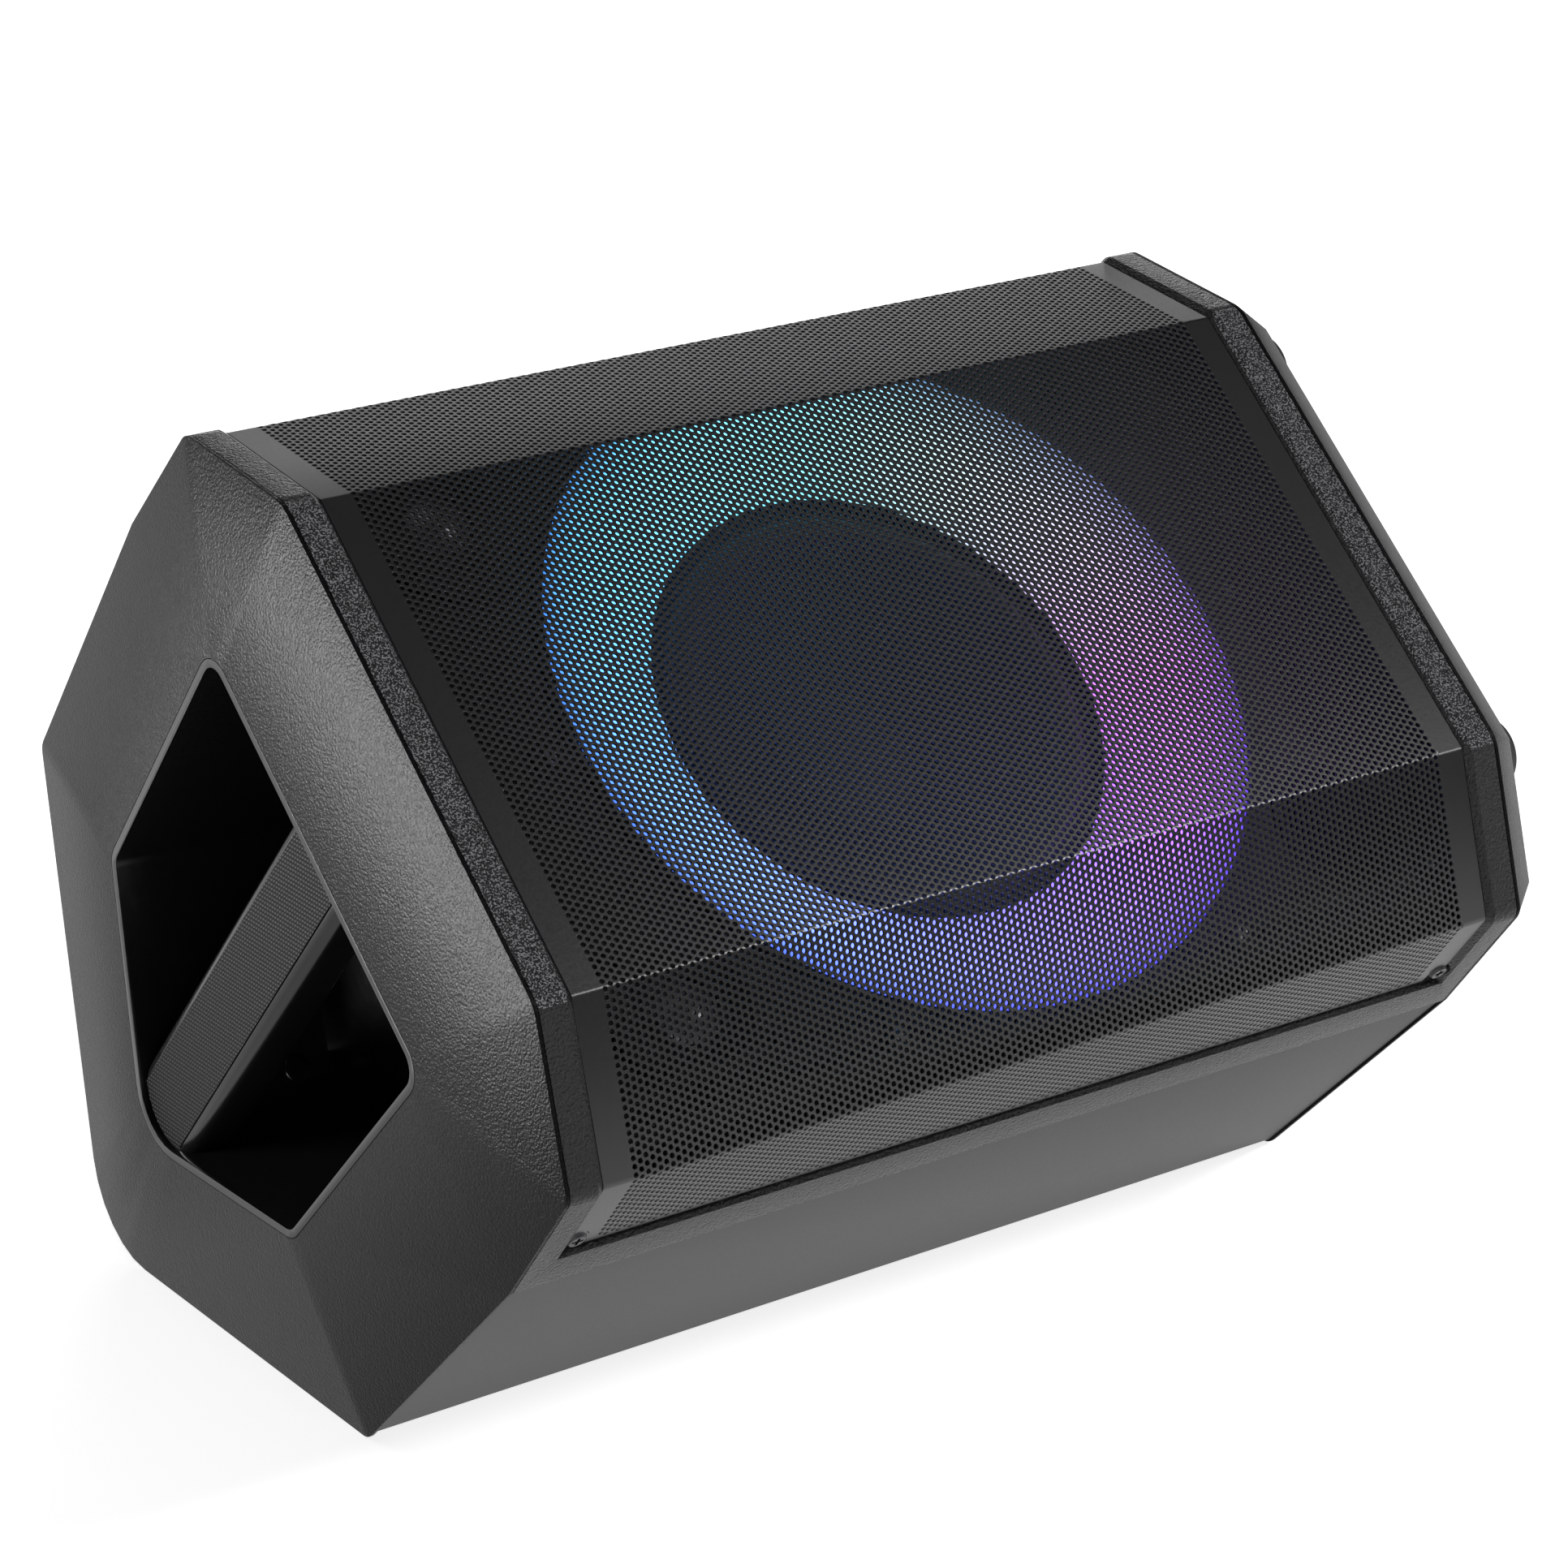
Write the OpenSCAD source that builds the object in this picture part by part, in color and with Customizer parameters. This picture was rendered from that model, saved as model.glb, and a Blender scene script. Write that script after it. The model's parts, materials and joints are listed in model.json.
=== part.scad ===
// Party speaker, lying on one back face like a floor wedge.
// Every piece is drawn in the speaker's own frame: x along the body, from the handle end to the
// foot end, y across it, and z from the back edge up to the front. stand() tilts the whole part
// onto its back face, so that the finished part rests on z = 0.

/* [Body] */
// Length between the two end-cap edges
body_len = 445; // [400:1:500]
// Width of the front face of the grille
front_w = 210; // [190:1:230]
// Width across the shoulders, where the grille bends onto the sides
shoulder_w = 326; // [310:1:340]
// Width at the seam between front frame and cabinet
seam_w = 333; // [320:1:350]
// Width across the two back corners
back_w = 313; // [300:1:330]
// Depth from the back edge to the front face
body_d = 380; // [370:1:400]
// Depth of the bevel from the front face to the shoulders
bevel_d = 38.5; // [34:0.5:44]
// Depth of the front frame's sides, from shoulder to seam
side_d = 64; // [58:1:70]
// Depth from the back edge to the back corners
back_d = 135; // [120:1:150]
// Rounding of the back edge
back_r = 40; // [20:1:50]
// Rounding of the back corners
cheek_r = 8; // [4:1:14]
// Rounding of the shoulders
shoulder_r = 7; // [3:1:12]
// Rounding between front face and bevels
front_r = 15; // [6:1:24]
// Wall thickness of the cabinet and frame mouldings
wall = 4; // [3:0.5:5]
// How far the cabinet lies below the end caps' edges
body_drop = 1; // [0.5:0.1:2]
// Width of the joint lines between mouldings
seam = 0.4; // [0.3:0.1:0.8]

/* [Front frame and grille] */
// Thickness of the end caps' edges
cap_edge = 1.5; // [1:0.1:2.5]
// Width of the raised band at each end of the grille
band_w = 13.4; // [11:0.2:14]
// Width of the slope inside each band
band_slope = 2.9; // [1.5:0.1:3.2]
// How far the grille lies below the bands
grille_drop = 2; // [1:0.1:4]
// Thickness of the grille sheet
sheet = 1.2; // [0.8:0.1:2]
// Length of the grille's return down the sides
return_d = 42.6; // [36:0.2:46]
// Gap between the grille's edge and the ledge
ledge_gap = 3; // [1.5:0.1:5]
// Distance from the end-cap edge to the window behind the grille
window_in = 22.6; // [20:0.2:28]
// Radius of the grille's folds
fold_r = 3; // [1:0.5:6]
// Radius of the grille screws' heads
screw_head_r = 4.6; // [4:0.1:5.5]
// Distance of the grille screws from the end-cap edge
screw_in = 19.4; // [18.6:0.2:21]

/* [End caps and handle] */
// Height of the handle cap's facets
handle_rise = 11.7; // [8:0.1:18]
// Height of the foot cap's bevel
foot_rise = 19.4; // [14:0.2:26]
// Inset of the foot cap's bevel
foot_inset = 14.5; // [10:0.5:20]
// Width of the handle opening at its front edge
opening_w = 185; // [170:1:196]
// Width of the handle opening near the back
opening_back_w = 172; // [160:1:180]
// Distance of the opening's front edge from the front face
opening_front_in = 69; // [62:1:80]
// Distance of the opening's back corners in front of the body's back corners
opening_mid_up = 36; // [28:1:45]
// Depth of the opening's point
opening_point = 93; // [86:1:100]
// Rounding of the opening's corners
opening_r = 12; // [6:1:16]
// Rounding of the opening's point
point_r = 26; // [16:1:34]
// Depth of the handle pocket
pocket_d = 80; // [64:1:84]
// Taper of the pocket's walls, from mouth to floor
pocket_taper = 6; // [3:0.5:12]
// Width of the handle's rim
rim_w = 3.4; // [2.8:0.2:5]
// Width of the grip bar
bar_w = 42; // [34:1:50]
// Thickness of the grip bar
bar_t = 24; // [18:1:30]
// Thickness of the grip pad
pad_t = 1.6; // [1:0.1:3]
// Height of the feet
foot_h = 11; // [8:0.5:14]
// Radius of the feet
foot_r = 17; // [13:0.5:18]
// Distance of the feet from the speaker's middle plane
foot_y = 95; // [84:1:97]
// Distance of the front pair of feet from the front face
foot_front_in = 38; // [36:1:50]
// Distance of the rear pair of feet in front of the body's back corners
foot_back_up = 17; // [10:1:35]

/* [Baffle and light ring] */
// Distance of the baffle behind the front face
baffle_in = 38; // [36:0.5:42]
// Thickness of the baffle
baffle_t = 12; // [9:1:15]
// Shift of the woofer from the middle of the body, towards the feet
woofer_shift = 12.3; // [0:0.1:14]
// Distance from the grille's shoulders to the light ring
ring_edge = 17.4; // [16.6:0.2:25]
// Width of the light ring
ring_w = 51.1; // [49.6:0.1:53.6]
// Depth of the light ring's cone
ring_d = 20; // [16:0.5:24]
// Distance of the ring screws outside the light ring
ring_screw_out = 15; // [11.4:0.2:17.4]

/* [Drivers] */
// Width of the woofer's surround
surround_w = 12; // [9:0.5:18]
// Depth of the woofer's cone
cone_d = 46; // [40:1:50]
// Radius of the dust cap
cap_r = 32; // [28:1:36]
// Radius of the voice coil
coil_r = 19; // [16:0.5:22]
// Radius of the woofer's magnet
magnet_r = 58; // [50:1:64]
// Thickness of the woofer's magnet
magnet_t = 18; // [14:1:22]
// Travel of the woofer's cone each way
cone_travel = 4; // [2:0.5:5]
// Radius of the tweeters' front plates
tweeter_r = 36; // [32:1:37]
// Radius of the tweeters' domes
dome_r = 13; // [10:0.5:16]
// Distance of the tweeters and ports inside the shoulders
corner_in = 57; // [51:1:59]
// Gap between the light ring's housing and the tweeters
tweeter_gap = 1.8; // [1:0.1:6]
// Gap between the light ring's housing and the ports
port_gap = 7.1; // [3:0.1:7.9]
// Outer radius of the ports' flares
port_r = 31; // [27:1:31]
// Radius of the ports' bores
port_bore = 24; // [18:1:26]
// Length of the ports
port_len = 110; // [80:1:130]

/* [Rear panel] */
// Length of the rear panel
panel_w = 186; // [176:1:200]
// Height of the rear panel
panel_h = 104; // [98:1:110]
// Distance of the panel's middle from the handle end
panel_x = 190; // [180:1:240]
// Depth of the panel's recess
panel_d = 13; // [12:0.5:18]
// Radius of the knobs
knob_r = 10; // [8:0.5:11]
// Height of the knobs
knob_h = 11; // [8:0.5:12]
// Radius of the push buttons
button_r = 6; // [5:0.5:7]
// How far the buttons stand out of the panel
button_h = 3; // [2:0.5:4]
// Travel of the buttons
button_travel = 1.2; // [0.8:0.1:1.6]
// Radius of the jack sockets
jack_r = 3.2; // [2.2:0.1:3.5]

/* [Electronics] */
// Distance of the amplifier and the power supply from the foot end
electronics_in = 120; // [100:5:140]
// Length of the amplifier board
amplifier_w = 100; // [80:5:120]
// Width of the amplifier board
amplifier_l = 52; // [40:2:60]
// Length of the power supply
supply_w = 110; // [90:5:130]
// Width of the power supply
supply_l = 48; // [40:2:60]
// Height of the power supply
supply_h = 32; // [20:2:40]
// Length of the battery pack
battery_w = 110; // [80:5:130]
// Width of the battery pack
battery_l = 76; // [50:2:90]
// Height of the battery pack
battery_h = 40; // [25:5:50]

/* [Hidden] */
$fn = 96;

eps = 0.01;
fit = 0.3;                      // clearance between pieces that fit into each other
boss_r = 4.5;                   // screw bosses
thread_r = 1.6;                 // shanks of the small screws
front_half = front_w / 2;
shoulder_half = shoulder_w / 2;
seam_half = seam_w / 2;
back_half = back_w / 2;
shoulder_z = body_d - bevel_d;
seam_z = shoulder_z - side_d;
ledge_z = shoulder_z - return_d - ledge_gap;
foot_face = body_len + foot_rise;
opening_front = body_d - opening_front_in;
opening_mid = back_d + opening_mid_up;
foot_front = body_d - foot_front_in;
foot_back = back_d + foot_back_up;
// the light ring fills the smaller of the front's width and its share of the length
ring_r = min(shoulder_half, body_len * 0.3663) - ring_edge;
ring_in_r = ring_r - ring_w;
ring_screw_r = ring_r + ring_screw_out;
corner_y = shoulder_half - corner_in;

// Corners of the body's outline, clockwise from the front's left corner, as [y, z]
corners = [[-front_half, body_d], [front_half, body_d], [shoulder_half, shoulder_z],
    [seam_half, seam_z], [back_half, back_d], [0, 0], [-back_half, back_d],
    [-seam_half, seam_z], [-shoulder_half, shoulder_z]];
corner_r = [front_r, front_r, shoulder_r, 2, cheek_r, back_r, cheek_r, 2, shoulder_r];

// The handle opening: front edge, two back corners and the point
opening = [[-opening_w / 2, opening_front], [opening_w / 2, opening_front],
    [opening_back_w / 2, opening_mid], [0, opening_point], [-opening_back_w / 2, opening_mid]];
opening_corner_r = [opening_r, opening_r, opening_r, point_r, opening_r];

function unit(v) = v / norm(v);
function at(list, i) = list[(i + len(list)) % len(list)];
// half of the angle between the two sides that meet at corner i
function half_angle(p, i) = let (u = unit(at(p, i - 1) - p[i]), v = unit(at(p, i + 1) - p[i]))
    acos(u * v) / 2;
function inward(p, i) = unit(unit(at(p, i - 1) - p[i]) + unit(at(p, i + 1) - p[i]));
// the outline moved in by d on every side
function inset(p, d) = [for (i = [0:len(p) - 1]) p[i] + inward(p, i) * d / sin(half_angle(p, i))];
// arc of radius r in corner i, in steps of the angle it turns
function corner_arc(p, i, r, n) = let (
        c = p[i] + inward(p, i) * r / sin(half_angle(p, i)),
        turn = 180 - 2 * half_angle(p, i),
        mid = atan2(p[i].y - c.y, p[i].x - c.x))
    [for (k = [0:n]) c + r * [cos(mid + turn * (0.5 - k / n)), sin(mid + turn * (0.5 - k / n))]];
function rounded(p, r, n = 6) = [for (i = [0:len(p) - 1]) each corner_arc(p, i, r[i], n)];
function less(r, d) = [for (v = r) max(v - d, 0.5)];

module outline(d = 0) polygon(rounded(inset(corners, d), less(corner_r, d)));
module opening_shape(d = 0) polygon(rounded(inset(opening, d), less(opening_corner_r, d)));

// A flat shape drawn in [y, z], extruded along the body from x0 to x1
module along(x0, x1) translate([x0, 0, 0]) rotate([90, 0, 90]) linear_extrude(x1 - x0) children();
module slab(x) along(x, x + eps) children();

// Tilt and shift from the speaker's own frame to the resting part
tilt = atan2(back_d, back_half);
function rest_y(p) = p.x * cos(tilt) - p.y * sin(tilt);
outline_y = [for (p = rounded(corners, corner_r)) rest_y(p)];
x_mid = (foot_face + foot_h - handle_rise) / 2;
y_mid = (min(outline_y) + max(outline_y)) / 2;
module stand() translate([-x_mid, -y_mid, 0]) rotate([tilt, 0, 0]) children();

module both_sides() for (s = [-1, 1]) scale([1, s, 1]) children();

// A place on the rear face, u from the back edge; z points out of the face
back_len = norm([back_half, back_d]);
module rear(x, u) translate([x, u * back_half / back_len, u * back_d / back_len])
    rotate([180 + tilt, 0, 0]) translate([0, 0, -body_drop]) children();
// The same on the side that the part rests on
module base(x, u) scale([1, -1, 1]) rear(x, u) children();
module screw(head_r, head_h, len) {
    difference() {
        union() {
            cylinder(r = head_r, h = head_h * 0.4);
            translate([0, 0, head_h * 0.4 - eps]) cylinder(r1 = head_r, r2 = head_r * 0.72, h = head_h * 0.6);
        }
        for (a = [0, 90]) rotate(a) translate([-head_r * 0.52, -head_r * 0.13, head_h - 1.2])
            cube([head_r * 1.04, head_r * 0.26, 3]);
    }
    translate([0, 0, -len]) cylinder(r = thread_r, h = len + eps);
}

// A flat shape's part between two depths
module between(z0, z1) intersection() {
    children();
    translate([-seam_w, z0]) square([2 * seam_w, z1 - z0]);
}

// A place on the front frame's side, d below the shoulder; z points out of the side
strip = [seam_half - shoulder_half, seam_z - shoulder_z];
strip_tilt = atan2(strip.x, -strip.y);
module side(x, d) translate([x, shoulder_half + d * sin(strip_tilt), shoulder_z - d * cos(strip_tilt)])
    rotate([strip_tilt - 90, 0, 0]) children();

// ---- Housing ----

x_open = cap_edge + seam;                       // where the mouldings between the caps begin
x_close = body_len - cap_edge - seam;
side_gap = 2;                                   // air between the grille's returns and the frame
end_wall = 5;                                   // end walls, which carry the caps' screws
frame_in = grille_drop + sheet + fit + wall;    // inside of the frame's ends
lip_in = max(frame_in, body_drop + wall) + fit; // outside of the caps' lips
lip_t = 2.5;
lip_len = 8;
grille_x = band_w + band_slope + 0.4;
baffle_z = body_d - baffle_in;
baffle_under = baffle_z - baffle_t;
woofer_x = body_len / 2 + woofer_shift;
housing_r = ring_r + 3.4;
// how far along the body a piece of radius r stands from the woofer, in the front's corner
function beside_ring(r, air) = sqrt(pow(housing_r + air + r, 2) - pow(corner_y, 2));
tweeter_x = woofer_x - beside_ring(tweeter_r, tweeter_gap);
port_centre = woofer_x + beside_ring(port_r, port_gap);

grille_corner_r = [fold_r, fold_r, fold_r, 2, cheek_r, back_r, cheek_r, 2, fold_r];
module fold_shape(d) polygon(rounded(inset(corners, grille_drop + d), less(grille_corner_r, d)));

// Screw places of the handle cap, as [y, z]
cap_screws = [[seam_half - 21, seam_z + 22], [back_half - 20, back_d + 17]];
foot_places = [[foot_y, foot_front], [foot_y + 12, foot_back]];
grille_screw_d = return_d - 5;

module cabinet_ends(w) {
    along(x_open - 1, window_in - end_wall) outline(w);
    along(body_len - window_in + end_wall, x_close + 1) outline(w);
}

module rear_cabinet() color("#3a3b3d") difference() {
    union() {
        difference() {
            along(x_open, x_close) between(-1, seam_z - seam / 2) outline(body_drop);
            along(window_in, body_len - window_in) outline(body_drop + wall);
        }
        lugs(seam_z - lug - 6, seam_z - seam / 2);
    }
    at_lugs(seam_z - lug - 3) cylinder(r = thread_r + 0.1, h = lug + 6);
    cabinet_ends(body_drop + wall);
    along(0, window_in + 1) opening_shape(-wall);
    panel_hole();
    both_sides() {
        translate([window_in - end_wall - 1, cap_screws[1].x, cap_screws[1].y]) rotate([0, 90, 0])
            cylinder(r = thread_r + 0.1, h = end_wall + 2);
        translate([body_len - window_in - 1, foot_places[1].x, foot_places[1].y]) rotate([0, 90, 0])
            cylinder(r = thread_r + 0.1, h = end_wall + 2);
    }
}

module band_slopes() {
    hull() {
        slab(band_w) outline();
        slab(band_w + band_slope) outline(grille_drop);
    }
    hull() {
        slab(body_len - band_w) outline();
        slab(body_len - band_w - band_slope) outline(grille_drop);
    }
}

module frame_shell() difference() {
    union() {
        along(x_open, band_w) between(seam_z + seam / 2, body_d + 1) outline();
        along(body_len - band_w, x_close) between(seam_z + seam / 2, body_d + 1) outline();
        intersection() {
            band_slopes();
            along(0, body_len) between(seam_z + seam / 2, body_d + 1) outline();
        }
        along(band_w, body_len - band_w) between(seam_z + seam / 2, body_d) fold_shape(sheet + fit);
        along(band_w, body_len - band_w) between(seam_z + seam / 2, ledge_z) outline();
    }
    // the room for baffle and drivers, and the window in front of it
    along(window_in, body_len - window_in) between(seam_z, body_d)
        fold_shape(sheet + side_gap + wall);
    along(window_in, body_len - window_in) between(shoulder_z - 3, body_d + 1)
        square([2 * seam_w, 3 * body_d], true);
    // air behind the grille's returns
    along(window_in, body_len - window_in) difference() {
        between(ledge_z, body_d) square([2 * seam_w, 3 * body_d], true);
        fold_shape(sheet + side_gap);
    }
    cabinet_ends(frame_in);
    along(0, window_in + 1) opening_shape(-wall);
    both_sides() {
        for (x = [screw_in, body_len - screw_in]) side(x, grille_screw_d) {
            translate([0, 0, -grille_drop - sheet - fit]) cylinder(r = screw_head_r + 0.5, h = 9);
            translate([0, 0, -14]) cylinder(r = thread_r + 0.1, h = 14);
        }
        translate([window_in - end_wall - 1, cap_screws[0].x, cap_screws[0].y]) rotate([0, 90, 0])
            cylinder(r = thread_r + 0.1, h = end_wall + 2);
        translate([body_len - window_in - 1, foot_places[0].x, foot_places[0].y]) rotate([0, 90, 0])
            cylinder(r = thread_r + 0.1, h = end_wall + 2);
    }
}

module front_frame() color("#2c2d2f") difference() {
    union() {
        frame_shell();
        lugs(seam_z + seam / 2, seam_z + lug);
        difference() {
            along(window_in - eps, body_len - window_in + eps)
                between(baffle_under - wall, baffle_under) difference() {
                    fold_shape(sheet + side_gap + wall - eps);
                    square([2 * (shelf_y), 2 * body_d], true);
                }
        }
        for (x = [window_in - eps, body_len - window_in - shelf + eps])
            along(x, x + shelf) between(baffle_under - wall, baffle_under)
                fold_shape(sheet + side_gap + wall - eps);
    }
    baffle_cutouts(1);
    at_baffle_screws(baffle_under - wall - 1) cylinder(r = thread_r + 0.1, h = wall + 2);
    at_lugs(seam_z - 1) cylinder(r = thread_r + 0.1, h = lug + 2);
}

// Lugs inside the seam, through which screws hold the frame to the cabinet
lug = 12;
lug_y = seam_half - grille_drop - sheet - side_gap - wall - lug / 2;
lug_x = [window_in + lug / 2, woofer_x - 60, woofer_x + 60, body_len - window_in - lug / 2];
module lugs(z0, z1) both_sides() for (x = lug_x) intersection() {
    along(x - lug / 2, x + lug / 2) outline(body_drop + 1);
    translate([x - lug / 2, lug_y - lug / 2, z0]) cube([lug, 40, z1 - z0]);
}
module at_lugs(z) both_sides() for (x = lug_x) translate([x, lug_y, z]) children();

module frame_screws() color("#5a5b5e") at_lugs(seam_z + lug) screw(3.4, 2.4, lug + 10);

module grille() color("#1d1d1f") difference() {
    along(grille_x, body_len - grille_x) between(shoulder_z - return_d, body_d) difference() {
        fold_shape(0);
        fold_shape(sheet);
    }
    both_sides() for (x = [screw_in, body_len - screw_in]) side(x, grille_screw_d) {
        translate([0, 0, -9]) cylinder(r = screw_head_r + 0.6, h = 12);
        translate([-screw_head_r - 0.6, 0, -9]) cube([2 * screw_head_r + 1.2, screw_head_r + 10, 12]);
    }
}

module grille_screws() color("#38393b") both_sides()
    for (x = [screw_in, body_len - screw_in]) side(x, grille_screw_d)
        translate([0, 0, -grille_drop - sheet - fit]) screw(screw_head_r, 2.6, 8);

// ---- End caps, handle and feet ----

module lip(x0, x1) along(x0, x1) difference() {
    outline(lip_in);
    outline(lip_in + lip_t);
}

module handle_end_cap() color("#454648") difference() {
    union() {
        difference() {
            hull() {
                along(0, cap_edge) outline();
                slab(-handle_rise) opening_shape();
            }
            hull() {
                along(cap_edge * 2, cap_edge * 2 + 1) outline(lip_in + lip_t);
                slab(wall - handle_rise) opening_shape(-wall / 2);
            }
        }
        lip(cap_edge - 1, cap_edge + lip_len);
        both_sides() for (p = cap_screws) translate([cap_edge - 2, p.x, p.y]) rotate([0, 90, 0])
            cylinder(r = boss_r, h = window_in - end_wall - cap_edge + 2);
    }
    along(-handle_rise - 1, 2) opening_shape();
    both_sides() for (p = cap_screws) translate([cap_edge, p.x, p.y]) rotate([0, 90, 0])
        cylinder(r = thread_r + 0.1, h = window_in);
}

module handle_cap_screws() color("#5a5b5e") both_sides() for (p = cap_screws)
    translate([window_in, p.x, p.y]) rotate([0, 90, 0]) screw(3.4, 2.4, end_wall + 10);

foot_boss_r = 6;
module foot_end_cap() color("#454648") difference() {
    union() {
        difference() {
            hull() {
                along(body_len - cap_edge, body_len) outline();
                slab(foot_face - eps) outline(foot_inset);
            }
            hull() {
                along(body_len - cap_edge - 1, body_len - cap_edge) outline(lip_in + lip_t);
                slab(foot_face - wall) outline(foot_inset + wall);
            }
        }
        lip(body_len - cap_edge - lip_len, body_len - cap_edge + 1);
        both_sides() for (p = foot_places)
            translate([body_len - window_in + end_wall, p.x, p.y]) rotate([0, 90, 0])
                cylinder(r = foot_boss_r, h = foot_rise + window_in - end_wall - 1);
    }
    both_sides() for (p = foot_places) translate([0, p.x, p.y]) rotate([0, 90, 0])
        cylinder(r = thread_r + 0.1, h = foot_face + 1);
}

module foot(p) color("#222224") translate([foot_face, p.x, p.y]) rotate([0, 90, 0])
    rotate_extrude() polygon([[thread_r + 0.1, 0], [foot_r, 0], [foot_r, foot_h * 0.35],
        [foot_r - foot_h * 0.25, foot_h - 1], [foot_r - foot_h * 0.25 - 1, foot_h],
        [foot_r * 0.42, foot_h], [foot_r * 0.42, foot_h / 2], [thread_r + 0.1, foot_h / 2]]);
module foot_front_upper() foot(foot_places[0]);
module foot_front_lower() mirror([0, 1, 0]) foot(foot_places[0]);
module foot_back_upper() foot(foot_places[1]);
module foot_back_lower() mirror([0, 1, 0]) foot(foot_places[1]);

module foot_screws() color("#5a5b5e") both_sides() for (p = foot_places)
    translate([foot_face + foot_h / 2, p.x, p.y]) rotate([0, 90, 0])
        screw(foot_r * 0.34, min(2.4, foot_h / 2 - 1), foot_h / 2 + foot_rise + window_in - 1);

// The hand pocket's inside, grown by d on every side
module pocket(d, floor_d) hull() {
    slab(-handle_rise) opening_shape(rim_w - d);
    slab(floor_d - handle_rise) opening_shape(rim_w + pocket_taper - d);
}
module pocket_space() hull() {
    slab(-handle_rise - 1) opening_shape(rim_w);
    slab(pocket_d - handle_rise) opening_shape(rim_w + pocket_taper);
}
cup_wall = rim_w - fit;
module grip_bar(grow) translate([0, 0, opening_point - 10]) linear_extrude(opening_front)
    translate([bar_x + bar_t / 2, 0]) offset_box(bar_t + 2 * grow, bar_w + 2 * grow, 6 + grow);
bar_x = 2.7 - handle_rise;      // the bar's outer face
module offset_box(w, h, r) polygon(rounded([[-w / 2, h / 2], [w / 2, h / 2], [w / 2, -h / 2],
    [-w / 2, -h / 2]], [r, r, r, r], 8));

module handle_cup() color("#262628") difference() {
    pocket(cup_wall, pocket_d + cup_wall);
    pocket_space();
    intersection() {
        grip_bar(0.1);
        pocket(1.6, pocket_d);
    }
    bar_screw_holes();
}

bar_mid_x = bar_x + bar_t / 2;
cup_inset = fit + pocket_taper * (bar_mid_x + handle_rise) / pocket_d;
point_half = half_angle(opening, 3);
// seats of the bar's two screws on the cup's outside
front_seat = opening_front - cup_inset + 0.3;
back_seat = opening_point + cup_inset / sin(point_half)
    + (point_r - cup_inset) * (1 / sin(point_half) - 1) - 0.3;
module at_bar_screws() {
    translate([bar_mid_x, 0, front_seat]) children();
    translate([bar_mid_x, 0, back_seat]) rotate([180, 0, 0]) children();
}
module bar_screw_holes() at_bar_screws() translate([0, 0, -24]) cylinder(r = thread_r + 0.1, h = 30);

module handle_bar() color("#2b2b2d") difference() {
    intersection() {
        grip_bar(0);
        pocket(1.5, pocket_d);
    }
    pad_shape(pad_t, -0.8);
    bar_screw_holes();
}

// The grip pad: its outline on the bar's outer face, and its thickness
module pad_shape(t, d) intersection() {
    translate([bar_x - 0.4 + (d < 0 ? -1 : 0), -bar_w / 2 + 5.5, 0])
        cube([t + (d < 0 ? 1 : 0), bar_w - 11, body_d]);
    pocket(-1.4, pocket_d);
}
module handle_grip() color("#1b1b1c") pad_shape(pad_t, 0);

module handle_screws() color("#5a5b5e") at_bar_screws() screw(3.4, 2.4, 20);

module base_pad(u) color("#1f1f20") base(body_len / 2, u) translate([-body_len / 2 + 26, -7, 0])
    cube([body_len - 52, 14, body_drop]);
module base_pad_front() base_pad(back_len - cheek_r - 14);
module base_pad_rear() base_pad(back_r * 0.86 + 14);

// ---- Baffle and light ring ----

shelf = 10;                     // width of the frame's shelf under the baffle
shelf_y = seam_half - grille_drop - sheet - side_gap - wall - shelf;
lens_t = 2;
trough = 7;                     // depth of the light ring's trough below its inner edge
ear_r = 6.5;
lens_z = baffle_z - ring_d;     // top of the lens at its inner edge
function lens_under(r) = lens_z - lens_t + (r - ring_in_r) * ring_d / (ring_r - ring_in_r);

tweeter_hole = 26;
baffle_screws_at = [for (x = [window_in + shelf / 2, body_len - window_in - shelf / 2],
    y = [shelf_y * 0.23, shelf_y * 0.9]) [x, y]];
module at_baffle_screws(z) both_sides() for (p = baffle_screws_at) translate([p.x, p.y, z]) children();

// holes through the baffle, each grown by d
module baffle_cutouts(d) {
    translate([woofer_x, 0, 0]) cylinder(r = housing_r + d, h = body_d);
    both_sides() {
        translate([tweeter_x, corner_y, 0]) cylinder(r = tweeter_hole + d, h = body_d);
        translate([port_centre, corner_y, 0]) cylinder(r = port_bore + 2.5 + d, h = body_d);
    }
}

module baffle() color("#303134") difference() {
    along(window_in + fit, body_len - window_in - fit) between(baffle_under, baffle_z)
        fold_shape(sheet + side_gap + wall + fit);
    baffle_cutouts(fit);
    at_baffle_screws(baffle_under - 1) cylinder(r = thread_r + 0.1, h = baffle_t + 2);
    at_ring_screws(baffle_under - 1) cylinder(r = thread_r + 0.1, h = baffle_t + 2);
    both_sides() at_tweeter(baffle_under - 1) tweeter_screw_places()
        cylinder(r = thread_r + 0.1, h = baffle_t + 2);
}

module baffle_screws() color("#5a5b5e") at_baffle_screws(baffle_z) screw(3.4, 2.4, baffle_t + wall - 1);

module at_ring_screws(z) for (i = [0:5]) translate([woofer_x, 0, z]) rotate(60 * i)
    translate([ring_screw_r, 0, 0]) children();

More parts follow.
